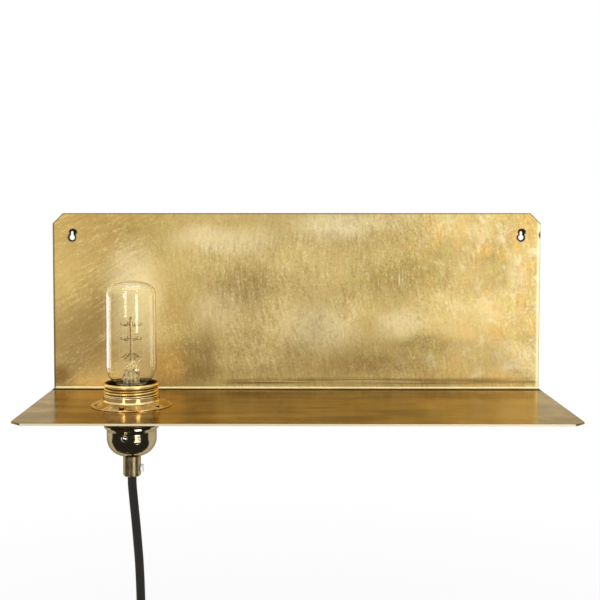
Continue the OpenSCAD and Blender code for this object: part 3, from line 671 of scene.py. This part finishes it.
# Stains, painted shade and painted glow on the back of the sheet, as seen from the front: (x, z) of the
# middle, half width and half height, all in millimetres, then how strong the spot is
# dark stains; the three beside the lamp, at x -72, -78 and -88, are painted shade of the lamp
DARK_STAINS_AND_LAMP_SHADE = (
    ((-72, -96), (14, 40), 0.25), ((-78, -112), (24, 14), 0.45), ((-40, -40), (38, 30), 0.45),
    ((-194, -116), (14, 16), 0.9), ((52, -104), (60, 16), 0.4), ((-168, -84), (72, 50), 0.62),
    ((-170, 6), (74, 44), 0.35), ((-20, -112), (60, 14), 0.3), ((-88, -100), (34, 26), 0.5),
    ((-120, -52), (80, 36), 0.35))
OLIVE_STAINS = (((92, -28), (54, 24), 0.55), ((72, -42), (30, 22), 0.4), ((106, -88), (48, 13), 0.6),
                ((-24, -36), (34, 20), 0.3), ((188, -84), (20, 14), 0.25),
                ((118, -10), (28, 16), 0.4))
PALE_STAINS = (
    ((32, 8), (44, 18), 0.6), ((18, -76), (44, 28), 0.5), ((86, -70), (26, 18), 0.55),
    ((150, 6), (16, 10), 0.3), ((160, -58), (14, 14), 0.3), ((182, -30), (12, 22), 0.3),
    ((-60, -2), (60, 16), 0.5), ((178, -100), (26, 20), 0.45), ((-66, -60), (30, 22), 0.25),
    ((46, 12), (60, 14), 0.45), ((-134, -50), (32, 64), 0.6))
# copper stains; the three low on the sheet, at x -104, -150 and 120, are a painted warm glow
COPPER_STAINS_AND_GLOW = (
    ((151, -8), (12, 10), 0.5), ((118, 2), (7, 14), 0.35), ((157, -45), (5, 6), 0.4),
    ((165, -74), (18, 16), 0.4), ((120, -112), (34, 10), 0.2), ((-104, -108), (15, 24), 0.5),
    ((-150, -119), (46, 8), 0.6), ((183, -50), (10, 12), 0.3))
SCRATCHES = (
    ((84.5, -34.5), (0.7, 7.5), 0.55), ((78.7, -33), (0.6, 6), 0.25), ((67.6, -37), (0.6, 6), 0.25),
    ((38.6, -80), (0.7, 6), 0.5), ((55, -30), (0.6, 9), 0.2))
SPOT_DEPTH = 0.3    # deep enough for the stains, painted shade and painted glow to show on both faces of the sheet
# Marks along the bend: the height over the shelf and the half width, in metres, then the strength
ROLLING_MARKS = ((0.0082, 0.0038, 0.6), (0.0070, 0.0012, 0.5))


def with_stains_and_painted_light(f, colour, spots, spot_colour, place, soft=0.8):
    """The colour with those spots on it, which fade out over the given share of their size. The spots are
    stains, painted shade and painted glow.
    """
    for (x, z), (half_w, half_h), strength in spots:
        spot = f.add("ShaderNodeMapping", {
            "Vector": place, "Location": (x * MM, 0, z * MM),
            "Scale": (half_w * MM, SPOT_DEPTH, half_h * MM)}, vector_type="TEXTURE").outputs[0]
        inside = f.add("ShaderNodeTexGradient", {"Vector": spot}, gradient_type="SPHERICAL").outputs["Fac"]
        colour = f.mix(f.range(inside, 0.0, soft, 0, strength), colour, spot_colour)
    return colour


def brushed(f, angle, along=60, across=900):
    """Noise drawn out into short strokes at an angle to the shelf, a little curved."""
    turned = f.add("ShaderNodeMapping", {"Vector": f.swirled(0.03, 11), "Rotation": (0, angle, 0)})
    return f.noise(1, 3, 0.6, 0.0, f.stretched((along, across, across), place=turned.outputs[0]))


def sheet_tone(f, cloud, x, z):
    """How bright the back is: cloudy, brighter to the right and low down, darker in its upper corners."""
    tone = f.math("MULTIPLY_ADD", cloud, 0.7,
                  f.range(x, -PLATE_HALF_W, PLATE_HALF_W, -0.07, 0.08, smoothly=False))
    low_down = f.range(z, SHELF_Z, PLATE_TOP_Z, 0.12, 0.07, smoothly=False)
    outward = f.range(f.math("ABSOLUTE", x), 0.02, PLATE_HALF_W, 0.0, 1.0, smoothly=False)
    upper_ends = f.math("MULTIPLY", outward, f.range(z, SHELF_Z, PLATE_TOP_Z, 0.0, -0.35, smoothly=False))
    return f.math("ADD", tone, f.math("ADD", low_down, upper_ends))


def blotched(f, colour, x):
    """The colour with copper and pale blotches to the right and fine patches all over."""
    to_right = f.range(x, 0.04, 0.2)
    blotches = f.noise(62, 4, 0.6, 0.6)
    colour = f.mix(f.math("MULTIPLY", to_right, f.range(blotches, 0.52, 0.66, 0, 0.45)), colour,
                   srgb(236, 188, 112))
    colour = f.mix(f.math("MULTIPLY", to_right, f.range(blotches, 0.50, 0.30, 0, 0.5)), colour,
                   srgb(248, 236, 196))
    patches = f.noise(110, 3, 0.65, 0.8)
    patchy = f.range(x, -0.1, 0.1, 0.12, 0.28)
    colour = f.mix(f.math("MULTIPLY", patchy, f.range(patches, 0.53, 0.64)), colour, srgb(200, 156, 90))
    return f.mix(f.math("MULTIPLY", patchy, f.range(patches, 0.47, 0.36)), colour, srgb(216, 204, 112))


def brush_marks(f, x):
    """The grain of the back, and the share of slanted strokes in it, which is 1 at the left end."""
    fleck = f.noise(1, 3, 0.75, 0.0, f.stretched((560, 560, 480)))
    slant = f.range(f.math("ADD", x, f.math("MULTIPLY", f.noise(12, 1), 0.08)), -0.03, -0.12)
    slanted = f.math("MULTIPLY_ADD", brushed(f, math.radians(28), 34, 320), 0.5,
                     f.math("MULTIPLY", brushed(f, math.radians(38), 60, 800), 0.5))
    strokes = f.mix_value(slant, brushed(f, math.radians(99), 90, 480), slanted)
    return f.mix_value(f.range(slant, 0, 1, 0.45, 0.6), fleck, strokes), slant


def grained(f, colour, grain, slant):
    contrast = f.math("MULTIPLY", f.range(f.noise(17, 2), 0.35, 0.65, 0.6, 1.3),
                      f.range(slant, 0, 1, 0.24, 0.26))
    colour = f.mix(f.math("MULTIPLY", contrast, f.range(grain, 0.50, 0.38)), colour, srgb(122, 96, 46))
    return f.mix(f.math("MULTIPLY", contrast, f.range(grain, 0.51, 0.63)), colour, srgb(255, 240, 196))


def marked_by_bending(f, colour, x, z):
    """Two rolling marks over the bend, from the lamp to the right, and a painted highlight along the bend."""
    sway = f.math("MULTIPLY", f.noise(7, 2), 0.004)
    above = f.math("ADD", f.math("SUBTRACT", z, SHELF_Z), sway)
    faint = f.noise(1, 2, 0.5, 0.2, f.stretched((11, 11, 500)))
    right_of_lamp = f.range(x, -0.075, -0.045)
    for height, half, strength in ROLLING_MARKS:
        off = f.math("ABSOLUTE", f.math("SUBTRACT", above, height))
        mark = f.math("MULTIPLY", f.range(off, half, half * 0.2), f.range(faint, 0.32, 0.6, 0, strength))
        colour = f.mix(f.math("MULTIPLY", mark, right_of_lamp), colour, srgb(122, 90, 40))
    # a painted highlight along the bend, just over the shelf
    return f.mix(f.range(z, SHELF_Z + 0.0016, SHELF_Z + 0.0010, 0, 0.6), colour, srgb(255, 240, 186))


def edged(f, colour, x, z):
    """Dark cut edges, with a painted highlight beside the right one, and painted shade round and above the
    wall holes.
    """
    side = f.math("SUBTRACT", PLATE_HALF_W, f.math("ABSOLUTE", x))
    top = f.math("SUBTRACT", PLATE_TOP_Z, z)
    past_clip = f.math("SUBTRACT", f.math("ADD", side, top), CORNER_CLIP)
    clipped = f.math("MULTIPLY", past_clip, 0.707)    # the distance from an edge cut at 45 degrees
    # a painted highlight beside the right edge
    pale = f.math("MULTIPLY", f.range(side, 0.0034, 0.0016, 0, 0.6), f.math("GREATER_THAN", x, 0.0))
    colour = f.mix(pale, colour, srgb(255, 246, 206))
    colour = f.mix(f.range(side, 0.0010, 0.0005, 0, 0.6), colour, srgb(150, 138, 104))
    left = f.math("MULTIPLY", f.range(side, 0.0018, 0.0010, 0, 0.85), f.math("LESS_THAN", x, 0.0))
    colour = f.mix(left, colour, srgb(104, 90, 42))
    upper = f.range(f.math("MINIMUM", top, clipped), 0.0012, 0.0006, 0, 0.8)
    colour = f.mix(upper, colour, srgb(112, 98, 52))
    # painted shade round each wall hole and above it, over the slot
    for middle in (-KEYHOLE_X_MM, KEYHOLE_X_MM):
        hole_shade = (((middle, 0), (4.1, 4.1), 1.0), ((middle + 0.7, 4.6), (3.9, 3.0), 1.0))
        colour = with_stains_and_painted_light(f, colour, hole_shade, srgb(20, 10, 2), f.swirled(0.0012, 700), 0.25)
    nick = ((199.7, 2), (2.4, 4.2), 1.0)
    return with_stains_and_painted_light(f, colour, (nick,), srgb(80, 60, 30), f.place)


def shelf_colour(f, x, y, worn, bend_shadow, front):
    """Darker brass with streaks and specks, a painted shadow along the bend and a pale front edge."""
    shelf = f.mix(f.range(worn, 0.36, 0.64), srgb(116, 95, 54), srgb(174, 150, 100))
    shelf = f.mix(f.range(x, 0.02, 0.16, 0, 0.3), shelf, srgb(130, 110, 66))
    streaks = f.noise(1, 3, 0.6, 0.6, f.stretched((34, 22, 22), (0, 0, math.radians(24))))
    shelf = f.mix(f.range(streaks, 0.52, 0.66, 0, 0.3), shelf, srgb(206, 176, 112))
    shelf = f.mix(f.range(streaks, 0.46, 0.34, 0, 0.3), shelf, srgb(92, 70, 34))
    specks = f.noise(1, 3, 0.6, 0.0, f.stretched((160, 420, 420)))
    shelf = f.mix(f.range(specks, 0.64, 0.74, 0, 0.5), shelf, srgb(84, 58, 22))
    by_front = f.range(y, SHELF_FRONT_Y + 0.0045, SHELF_FRONT_Y + 0.002, 0, 0.6)
    shelf = f.mix(by_front, shelf, srgb(70, 50, 20))
    # painted shadow along the bend
    shelf = f.mix(f.math("MULTIPLY", bend_shadow, 0.9), shelf, srgb(40, 22, 4))
    return f.mix(front, shelf, srgb(210, 200, 168))


def brass_sheet():
    """Brushed brass with stain marks, painted shade, a painted glow and painted highlights, and a darker,
    glossier shelf.
    """
    f = Finish("brass_sheet", Specular_Tint=(0.80, 0.70, 0.52, 1))
    x, y, z = f.axes()
    cloud = f.noise(13, 3, 0.55, 0.5)
    grain, slant = brush_marks(f, x)
    wavy = f.swirled(0.016, 26)
    colour = f.mix(sheet_tone(f, cloud, x, z), srgb(178, 148, 80), srgb(246, 222, 154))
    # dark stains, and painted shade of the lamp beside it
    colour = with_stains_and_painted_light(f, colour, DARK_STAINS_AND_LAMP_SHADE, srgb(138, 104, 52), wavy)
    colour = with_stains_and_painted_light(f, colour, OLIVE_STAINS, srgb(158, 134, 66), wavy)
    colour = with_stains_and_painted_light(f, colour, PALE_STAINS, srgb(248, 230, 180), wavy)
    # copper stains, and a painted warm glow low on the sheet
    colour = with_stains_and_painted_light(f, colour, COPPER_STAINS_AND_GLOW, srgb(224, 174, 88), wavy)
    colour = grained(f, blotched(f, colour, x), grain, slant)
    colour = with_stains_and_painted_light(f, colour, SCRATCHES, srgb(255, 244, 206), f.place)
    colour = edged(f, marked_by_bending(f, colour, x, z), x, z)

    on_shelf = f.range(y, *SHELF_LOOK_FROM)
    worn = f.noise(1, 3, 0.6, 0.4, f.stretched((10, 60, 60)))
    bend_shadow = f.range(y, *BEND_SHADOW_FROM)
    front = f.range(y, SHELF_FRONT_Y + 0.0008, SHELF_FRONT_Y + 0.0003)
    f.set("Base Color", f.mix(on_shelf, colour, shelf_colour(f, x, y, worn, bend_shadow, front)))
    # along the painted shadow by the bend the shelf is matt and not metal, here and in its roughness below
    shelf_metal = f.mix_value(bend_shadow, f.range(front, 0, 1, 1.0, 0.4), 0.0)
    f.set("Metallic", f.mix_value(on_shelf, SHEET_METAL, shelf_metal))
    uneven = f.math("MULTIPLY_ADD", cloud, 0.5, f.math("MULTIPLY", grain, 0.5))
    rough = f.range(uneven, 0.35, 0.65, 0.30, 0.42)
    polish = f.mix_value(front, f.range(worn, 0.3, 0.7, 0.17, 0.25), 0.5)
    f.set("Roughness", f.mix_value(on_shelf, rough, f.mix_value(bend_shadow, polish, 1.0)))
    waves = f.math("ADD", f.noise(8, 2), f.math("MULTIPLY", grain, 0.008))
    f.set("Normal", f.bump(waves, 0.5, 0.002))
    return f.material


def polished_brass(name, colour, roughness, at_grazing, dents=0.0):
    """Turned or pressed brass with a cloudy polish. dents gives the strength of its shallow hollows."""
    f = Finish(name, Metallic=1.0, Specular_Tint=at_grazing)
    cloud = f.noise(120, 4, 0.6)
    f.set("Base Color", f.mix(f.range(cloud, 0.35, 0.7), (*colour, 1), (*[c * 0.86 for c in colour], 1)))
    f.set("Roughness", f.range(cloud, 0.3, 0.7, roughness * 0.8, roughness * 1.3))
    fine = f.bump(f.noise(900, 2), 0.04, 0.0004)
    f.set("Normal", f.bump(f.noise(150, 1), dents, 0.004, fine))
    return f.material


def ring_brass():
    """Darkened brass with a paler, satin collar."""
    f = Finish("brass_ring", Metallic=1.0, Specular_Tint=(0.7, 0.58, 0.4, 1))
    cloud = f.noise(90, 4, 0.6)
    z = f.axes()[2]
    collar_starts = (SHELF_Z + 0.0034, SHELF_Z + 0.0042)
    collar = f.range(z, *collar_starts)
    flange = f.mix(f.range(cloud, 0.3, 0.7), srgb(190, 160, 100), srgb(244, 222, 168))
    f.set("Base Color", f.mix(collar, flange, srgb(228, 206, 158)))
    f.set("Roughness", f.mix_value(collar, f.range(cloud, 0.3, 0.7, 0.16, 0.30), 0.13))
    f.set("Normal", f.bump(f.noise(500, 2), 0.06, 0.0004))
    return f.material


def plain_metal(name, colour, roughness):
    f = Finish(name, Metallic=1.0)
    cloud = f.noise(400, 3, 0.6)
    f.set("Base Color", f.mix(cloud, (*[c * 0.85 for c in colour], 1), (*colour, 1)))
    f.set("Roughness", f.range(cloud, 0.3, 0.7, roughness * 0.8, roughness * 1.25))
    return f.material


def slotted_nickel():
    """Nickel with a dark line drawn across the head: painted shade where the lock screw's slot would be,
    since the slot is not cut.
    """
    f = Finish("nickel", Metallic=1.0, Roughness=0.14)
    x, y, z = f.axes(f.from_lamp())
    turn = math.radians(LOCK_ANGLE)
    aside = f.math("ADD", f.math("MULTIPLY", x, -math.sin(turn)), f.math("MULTIPLY", y, math.cos(turn)))
    rise = f.math("SUBTRACT", z, LOCK_Z * MM)
    # the slot leans 37 degrees from upright
    across_slot = f.math("ADD", f.math("MULTIPLY", aside, 0.8), f.math("MULTIPLY", rise, 0.6))
    off = f.math("ABSOLUTE", across_slot)
    worn = f.mix(f.noise(500, 3), srgb(214, 208, 190), srgb(240, 236, 224))
    # painted shade for the slot
    f.set("Base Color", f.mix(f.range(off, 0.0003, 0.0005), srgb(20, 16, 10), worn))
    return f.material


def clear_glass():
    """Clear, slightly warm and slightly wavy glass."""
    f = Finish("bulb_clear_glass", Transmission_Weight=1.0, IOR=1.4, Roughness=0.0,
               Base_Color=(1.0, 0.985, 0.90, 1))
    f.set("Normal", f.bump(f.noise(60, 2), 0.5, 0.00006))
    return f.material


def stem_glass():
    """Glass that was worked over a flame: wavy, with painted dark reflections along its folds, a rod with
    painted shade and a painted highlight, and painted shade down in the neck.
    """
    f = Finish("stem_glass", Transmission_Weight=0.8, IOR=1.5, Roughness=0.0)
    neck_ends = (0.0188, 0.0196)    # heights over the shelf, below which the neck gets painted shade
    rod_starts = (0.0325, 0.034)
    off, _, above = f.axes(f.from_lamp())
    folds = f.noise(1, 1, 0.5, 0.8, f.stretched((260, 260, 330)))
    off_dark_line = f.math("ABSOLUTE", f.math("SUBTRACT", folds, 0.5))
    # painted dark reflections along the folds
    body = f.mix(f.range(off_dark_line, 0.02, 0.035), srgb(30, 14, 3), srgb(255, 236, 178))
    # the rod: painted shade on its left half, a painted highlight on its right
    rod = f.mix(f.range(off, 0.0001, 0.0004), srgb(166, 130, 58), srgb(255, 248, 204))
    colour = f.mix(f.range(above, *rod_starts), body, rod)
    # painted shade down in the neck, inside the skirt
    edge = f.math("MULTIPLY_ADD", f.noise(300, 1), 0.004, above)
    colour = f.mix(f.range(edge, *neck_ends), srgb(36, 22, 8), colour)
    f.set("Base Color", colour)
    f.set("Normal", f.bump(folds, 0.5, 0.0014))
    return f.material


def threaded_brass():
    """Bright brass, dark in the grooves of the thread from dirt and painted shade, and with painted shade
    inside.
    """
    f = Finish("brass_threaded", Metallic=1.0, Specular_Tint=(0.85, 0.72, 0.45, 1))
    flat = f.add("ShaderNodeVectorMath", {0: f.from_lamp(), 1: (1, 1, 0)}, operation="MULTIPLY").outputs[0]
    radius = f.add("ShaderNodeVectorMath", {0: flat}, operation="LENGTH").outputs["Value"]
    root = SKIRT_ROOT_R * MM
    crests = f.range(radius, root, root + 0.0007)
    cloud = f.noise(120, 4, 0.6)
    clean = f.mix(cloud, srgb(214, 184, 118), srgb(248, 224, 160))
    # dirt and painted shade in the grooves, painted shade on the inner wall
    f.set("Base Color", f.mix(crests, srgb(78, 50, 18), clean))
    f.set("Roughness", f.mix_value(crests, 0.5, f.range(cloud, 0.3, 0.7, 0.24, 0.34)))
    f.set("Normal", f.bump(f.noise(900, 2), 0.04, 0.0004))
    return f.material


def moulded(name, colour, roughness=0.35):
    """Plastic or rubber with a fine grain."""
    f = Finish(name)
    cloud = f.noise(180, 3)
    f.set("Base Color", f.mix(cloud, srgb(*colour), srgb(*[min(255, c * 1.3 + 4) for c in colour])))
    f.set("Roughness", f.range(cloud, 0.3, 0.7, roughness * 0.85, roughness * 1.2))
    f.set("Normal", f.bump(f.noise(1600, 2), 0.12, 0.0002))
    return f.material


def textile():
    """Black braid: two sets of strands that wind round the cord in opposite ways."""
    f = Finish("textile_braid", Roughness=0.85, Sheen_Weight=0.08, Sheen_Roughness=0.5,
               Specular_IOR_Level=0.3)
    run = f.add("ShaderNodeUVMap", uv_map=UV_NAME).outputs["UV"]
    round_share, along, _ = f.axes(run)
    strands = 12
    lay = 24 * MM
    turns = f.math("MULTIPLY", round_share, 2 * math.pi * strands)
    climb = f.math("MULTIPLY", along, 2 * math.pi * strands / lay)
    left = f.math("SINE", f.math("ADD", turns, climb))
    right = f.math("SINE", f.math("SUBTRACT", turns, climb))
    over = f.math("MAXIMUM", left, right)
    fibre = f.noise(2500, 3, 0.7)
    shade = f.math("MULTIPLY_ADD", over, 0.4, f.math("MULTIPLY", fibre, 0.5))
    f.set("Base Color", f.mix(f.range(shade, 0.1, 0.8), srgb(6, 5, 4), srgb(48, 44, 40)))
    f.set("Normal", f.bump(f.math("MULTIPLY_ADD", over, 0.5, f.math("MULTIPLY", fibre, 0.3)), 0.7, 0.0004))
    return f.material


def porcelain():
    f = Finish("porcelain_glaze", Roughness=0.15, Coat_Weight=0.6, Coat_Roughness=0.05)
    f.set("Base Color", f.mix(f.noise(90, 3), srgb(222, 218, 206), srgb(243, 241, 233)))
    return f.material


SHEET = brass_sheet()
THREADED = threaded_brass()
ANTIQUED = polished_brass("brass_antiqued", (0.48, 0.39, 0.24), 0.1, (0.5, 0.42, 0.3, 1), dents=0.12)
TURNED = polished_brass("brass_turned", (0.42, 0.33, 0.18), 0.3, (0.4, 0.33, 0.2, 1))
RING = ring_brass()
PORCELAIN = porcelain()
STEEL = plain_metal("steel", (0.62, 0.62, 0.63), 0.28)
TINNED = plain_metal("cap_metal", (0.75, 0.75, 0.74), 0.2)
DARK_WIRE = plain_metal("filament_wire", (0.11, 0.075, 0.03), 0.5)
GLASS = clear_glass()
STEM_GLASS = stem_glass()
BLACK = moulded("black_plastic", (20, 20, 21), 0.3)
SOFT_BLACK = moulded("black_soft", (24, 24, 25), 0.55)
NYLON = moulded("nylon", (205, 204, 195), 0.4)
BRAID = textile()

paint_nodes(SHEET, "bent_plate")
paint_nodes(RING, "upper_ring", "lower_ring")
paint_nodes(ANTIQUED, "holder_cap")
paint(lock_screw, slotted_nickel())
paint_nodes(TURNED, "screw_shell", "centre_contact", "side_contact", "live_terminal", "neutral_terminal",
            "earth_terminal", "cord_grip")
paint_nodes(PORCELAIN, "ceramic_core")
paint_nodes(STEEL, "contact_screws", "terminal_screws", "grip_nut", "switch_screws", "plug_pins",
            "plug_earth_strips")
paint_nodes(NYLON, "grip_screw")
paint_nodes(BRAID, "cord_sheath_end")
paint_nodes(moulded("wire_brown", (92, 52, 28)), "live_wire")
paint_nodes(moulded("wire_blue", (36, 76, 160)), "neutral_wire")
paint_nodes(moulded("wire_green", (96, 150, 40)), "earth_wire")
paint_nodes(GLASS, "bulb_glass")
paint_nodes(TINNED, "bulb_contact")
paint_nodes(moulded("bulb_black_glass", (16, 16, 18), 0.15), "bulb_insulator")
paint_nodes(SOFT_BLACK, "plug_relief")
paint_nodes(BLACK, "switch_front", "switch_back", "switch_rocker", "plug_body")
paint(cord, BRAID)
paint(skirt, THREADED)
paint(bulb_cap, TINNED)
paint(stem, STEM_GLASS)
paint(hooks, DARK_WIRE)
paint(leads, TINNED)
paint(filament, DARK_WIRE)
paint(tie, SOFT_BLACK)
for clear in (NODES["bulb_glass"], stem):
    clear.visible_shadow = False    # clear glass lets the lights' rays through


# ---------------------------------------------------------------- floor, light and background

FLOOR_Z = cad_box[0].z - 0.02
FLOOR_HALF = 6
FLOOR_KEPT = 0.15       # how much of the floor's own shade, and so of the object's shadow, the camera sees
SHADOW_FADES = (0.3, 1.0)    # distances from the object's foot between which that share fades out
FRONT_DARK = 0.04       # what shiny metal sees of the room in front of the object, below the lamps
FRONT_IN_GLASS = 0.8    # the least that shows through glass in that direction
ROOM_TOP = 1.05         # the room's brightness at and just above the lamps
ROOM_CEILING = 0.7      # its ceiling's share of that
ROOM_DIFFUSE = 0.75     # its light on surfaces that aren't shiny
# Ranges of a direction's y or z
ROOM_BRIGHTENS = (-0.22, 0.22)
CEILING_STARTS = (0.45, 0.8)
BACKDROP_STARTS = (0.0, 0.12)
BEHIND_GLASS = -0.4     # glass shows the white background in directions with a greater y


def make_floor():
    mesh = bpy.data.meshes.new("floor")
    corners = ((-FLOOR_HALF, -FLOOR_HALF), (FLOOR_HALF, -FLOOR_HALF), (FLOOR_HALF, FLOOR_HALF),
               (-FLOOR_HALF, FLOOR_HALF))
    mesh.from_pydata([(x, y, FLOOR_Z) for x, y in corners], [], [(0, 1, 2, 3)])
    floor = new_object("floor", mesh)
    f = Finish("pale_floor", Roughness=0.9)
    f.set("Base Color", srgb(240, 240, 240))
    rays = f.add("ShaderNodeLightPath").outputs
    seen = rays["Is Camera Ray"]
    mirrored = f.math("MAXIMUM", rays["Is Glossy Ray"], rays["Is Transmission Ray"])
    level = f.math("MAXIMUM", f.range(f.axes()[1], -0.03, 0.03, FRONT_DARK, 1.0),
                   f.math("MULTIPLY", rays["Is Transmission Ray"], FRONT_IN_GLASS))
    glossy = f.math("MULTIPLY", mirrored, level)
    glow = f.add("ShaderNodeEmission", {"Color": (1, 1, 1, 1), "Strength": f.math("ADD", glossy, seen)})
    away = f.add("ShaderNodeVectorMath", {0: f.place, 1: (0, 0, FLOOR_Z)}, operation="DISTANCE")
    kept = f.range(away.outputs["Value"], *SHADOW_FADES, FLOOR_KEPT, 0.0)
    own_share = f.math("MULTIPLY_ADD", seen, f.math("SUBTRACT", kept, 1), f.math("SUBTRACT", 1, mirrored))
    join = f.add("ShaderNodeMixShader", {0: own_share, 1: glow.outputs[0], 2: f.surface.outputs[0]})
    f.tree.links.new(join.outputs[0], f.tree.nodes["Material Output"].inputs["Surface"])
    paint(floor, f.material)


def area_light(name, place, aim, size, radiance):
    """A soft box of that width and height, aimed at a point. Its face has the given radiance."""
    data = bpy.data.lights.new(name, "AREA")
    data.shape = "RECTANGLE"
    width, height = size
    data.size, data.size_y = width, height
    data.energy = radiance * math.pi * width * height
    lamp = new_object(name, data)
    lamp.location = place
    lamp.rotation_mode = "QUATERNION"
    lamp.rotation_quaternion = (Vector(aim) - Vector(place)).to_track_quat("-Z", "Y")
    lamp.visible_camera = False
    return lamp


def round_the_lamp(azimuth, elevation, distance):
    """A point at that direction from the lampholder. Azimuth 0 is towards the camera, 90 to the right."""
    a, e = math.radians(azimuth), math.radians(elevation)
    holder = Vector((*LAMP[:2], -0.10))
    return holder + distance * Vector((math.sin(a) * math.cos(e), -math.cos(a) * math.cos(e), math.sin(e)))


def make_lights():
    aim = (-0.05, -0.05, -0.06)
    under_cap = (*LAMP[:2], -0.15)
    area_light("left_strip", round_the_lamp(-23, 12, 1.9), aim, (0.2, 1.0), radiance=12)
    area_light("right_box", round_the_lamp(35, 11, 1.9), aim, (0.38, 1.1), radiance=8)
    area_light("low_card", round_the_lamp(34, -15, 0.7), under_cap, (0.24, 0.1), radiance=5)
    # two pale screens that only shiny things see: one past the left end, level with the bulb, and one above
    side = area_light("side_screen", round_the_lamp(-116, -6.5, 1.9), aim, (1.3, 0.24), radiance=2.0)
    top = area_light("top_screen", (-0.12, 0.1, 1.6), aim, (1.5, 0.9), radiance=2.2)
    side.visible_diffuse = False
    top.visible_diffuse = False


def make_world():
    """White where the camera, metal or glass looks past the object, with a dim room behind the camera."""
    world = bpy.data.worlds.new("studio")
    bpy.context.scene.world = world
    world.use_nodes = True
    world.node_tree.nodes.clear()
    w = Nodes(world.node_tree)
    _, y, z = w.axes(w.add("ShaderNodeTexCoord").outputs["Generated"])
    upward = w.range(z, *ROOM_BRIGHTENS, FRONT_DARK, ROOM_TOP)
    room = w.math("MULTIPLY", upward, w.range(z, *CEILING_STARTS, 1.0, ROOM_CEILING))
    glossy_level = w.range(y, *BACKDROP_STARTS, room, 1.0)
    rays = w.add("ShaderNodeLightPath").outputs
    in_glass = rays["Is Transmission Ray"]
    mirrored = w.math("MAXIMUM", rays["Is Glossy Ray"], in_glass)
    past_glass = w.math("MULTIPLY", in_glass, w.math("GREATER_THAN", y, BEHIND_GLASS))
    seen = w.math("MAXIMUM", rays["Is Camera Ray"], past_glass)
    others = w.math("SUBTRACT", 1.0, w.math("MAXIMUM", seen, mirrored))
    level = w.math("MAXIMUM", glossy_level, w.math("MULTIPLY", in_glass, FRONT_IN_GLASS))
    in_metal = w.math("MULTIPLY", w.math("SUBTRACT", mirrored, past_glass), level)
    shone = w.math("ADD", in_metal, w.math("MULTIPLY", others, ROOM_DIFFUSE))
    strength = w.math("ADD", seen, shone)
    background = w.add("ShaderNodeBackground", {"Color": (1, 1, 1, 1), "Strength": strength})
    w.add("ShaderNodeOutputWorld", {"Surface": background.outputs[0]})


make_floor()
make_lights()
make_world()

bpy.context.scene.view_settings.view_transform = "Standard"
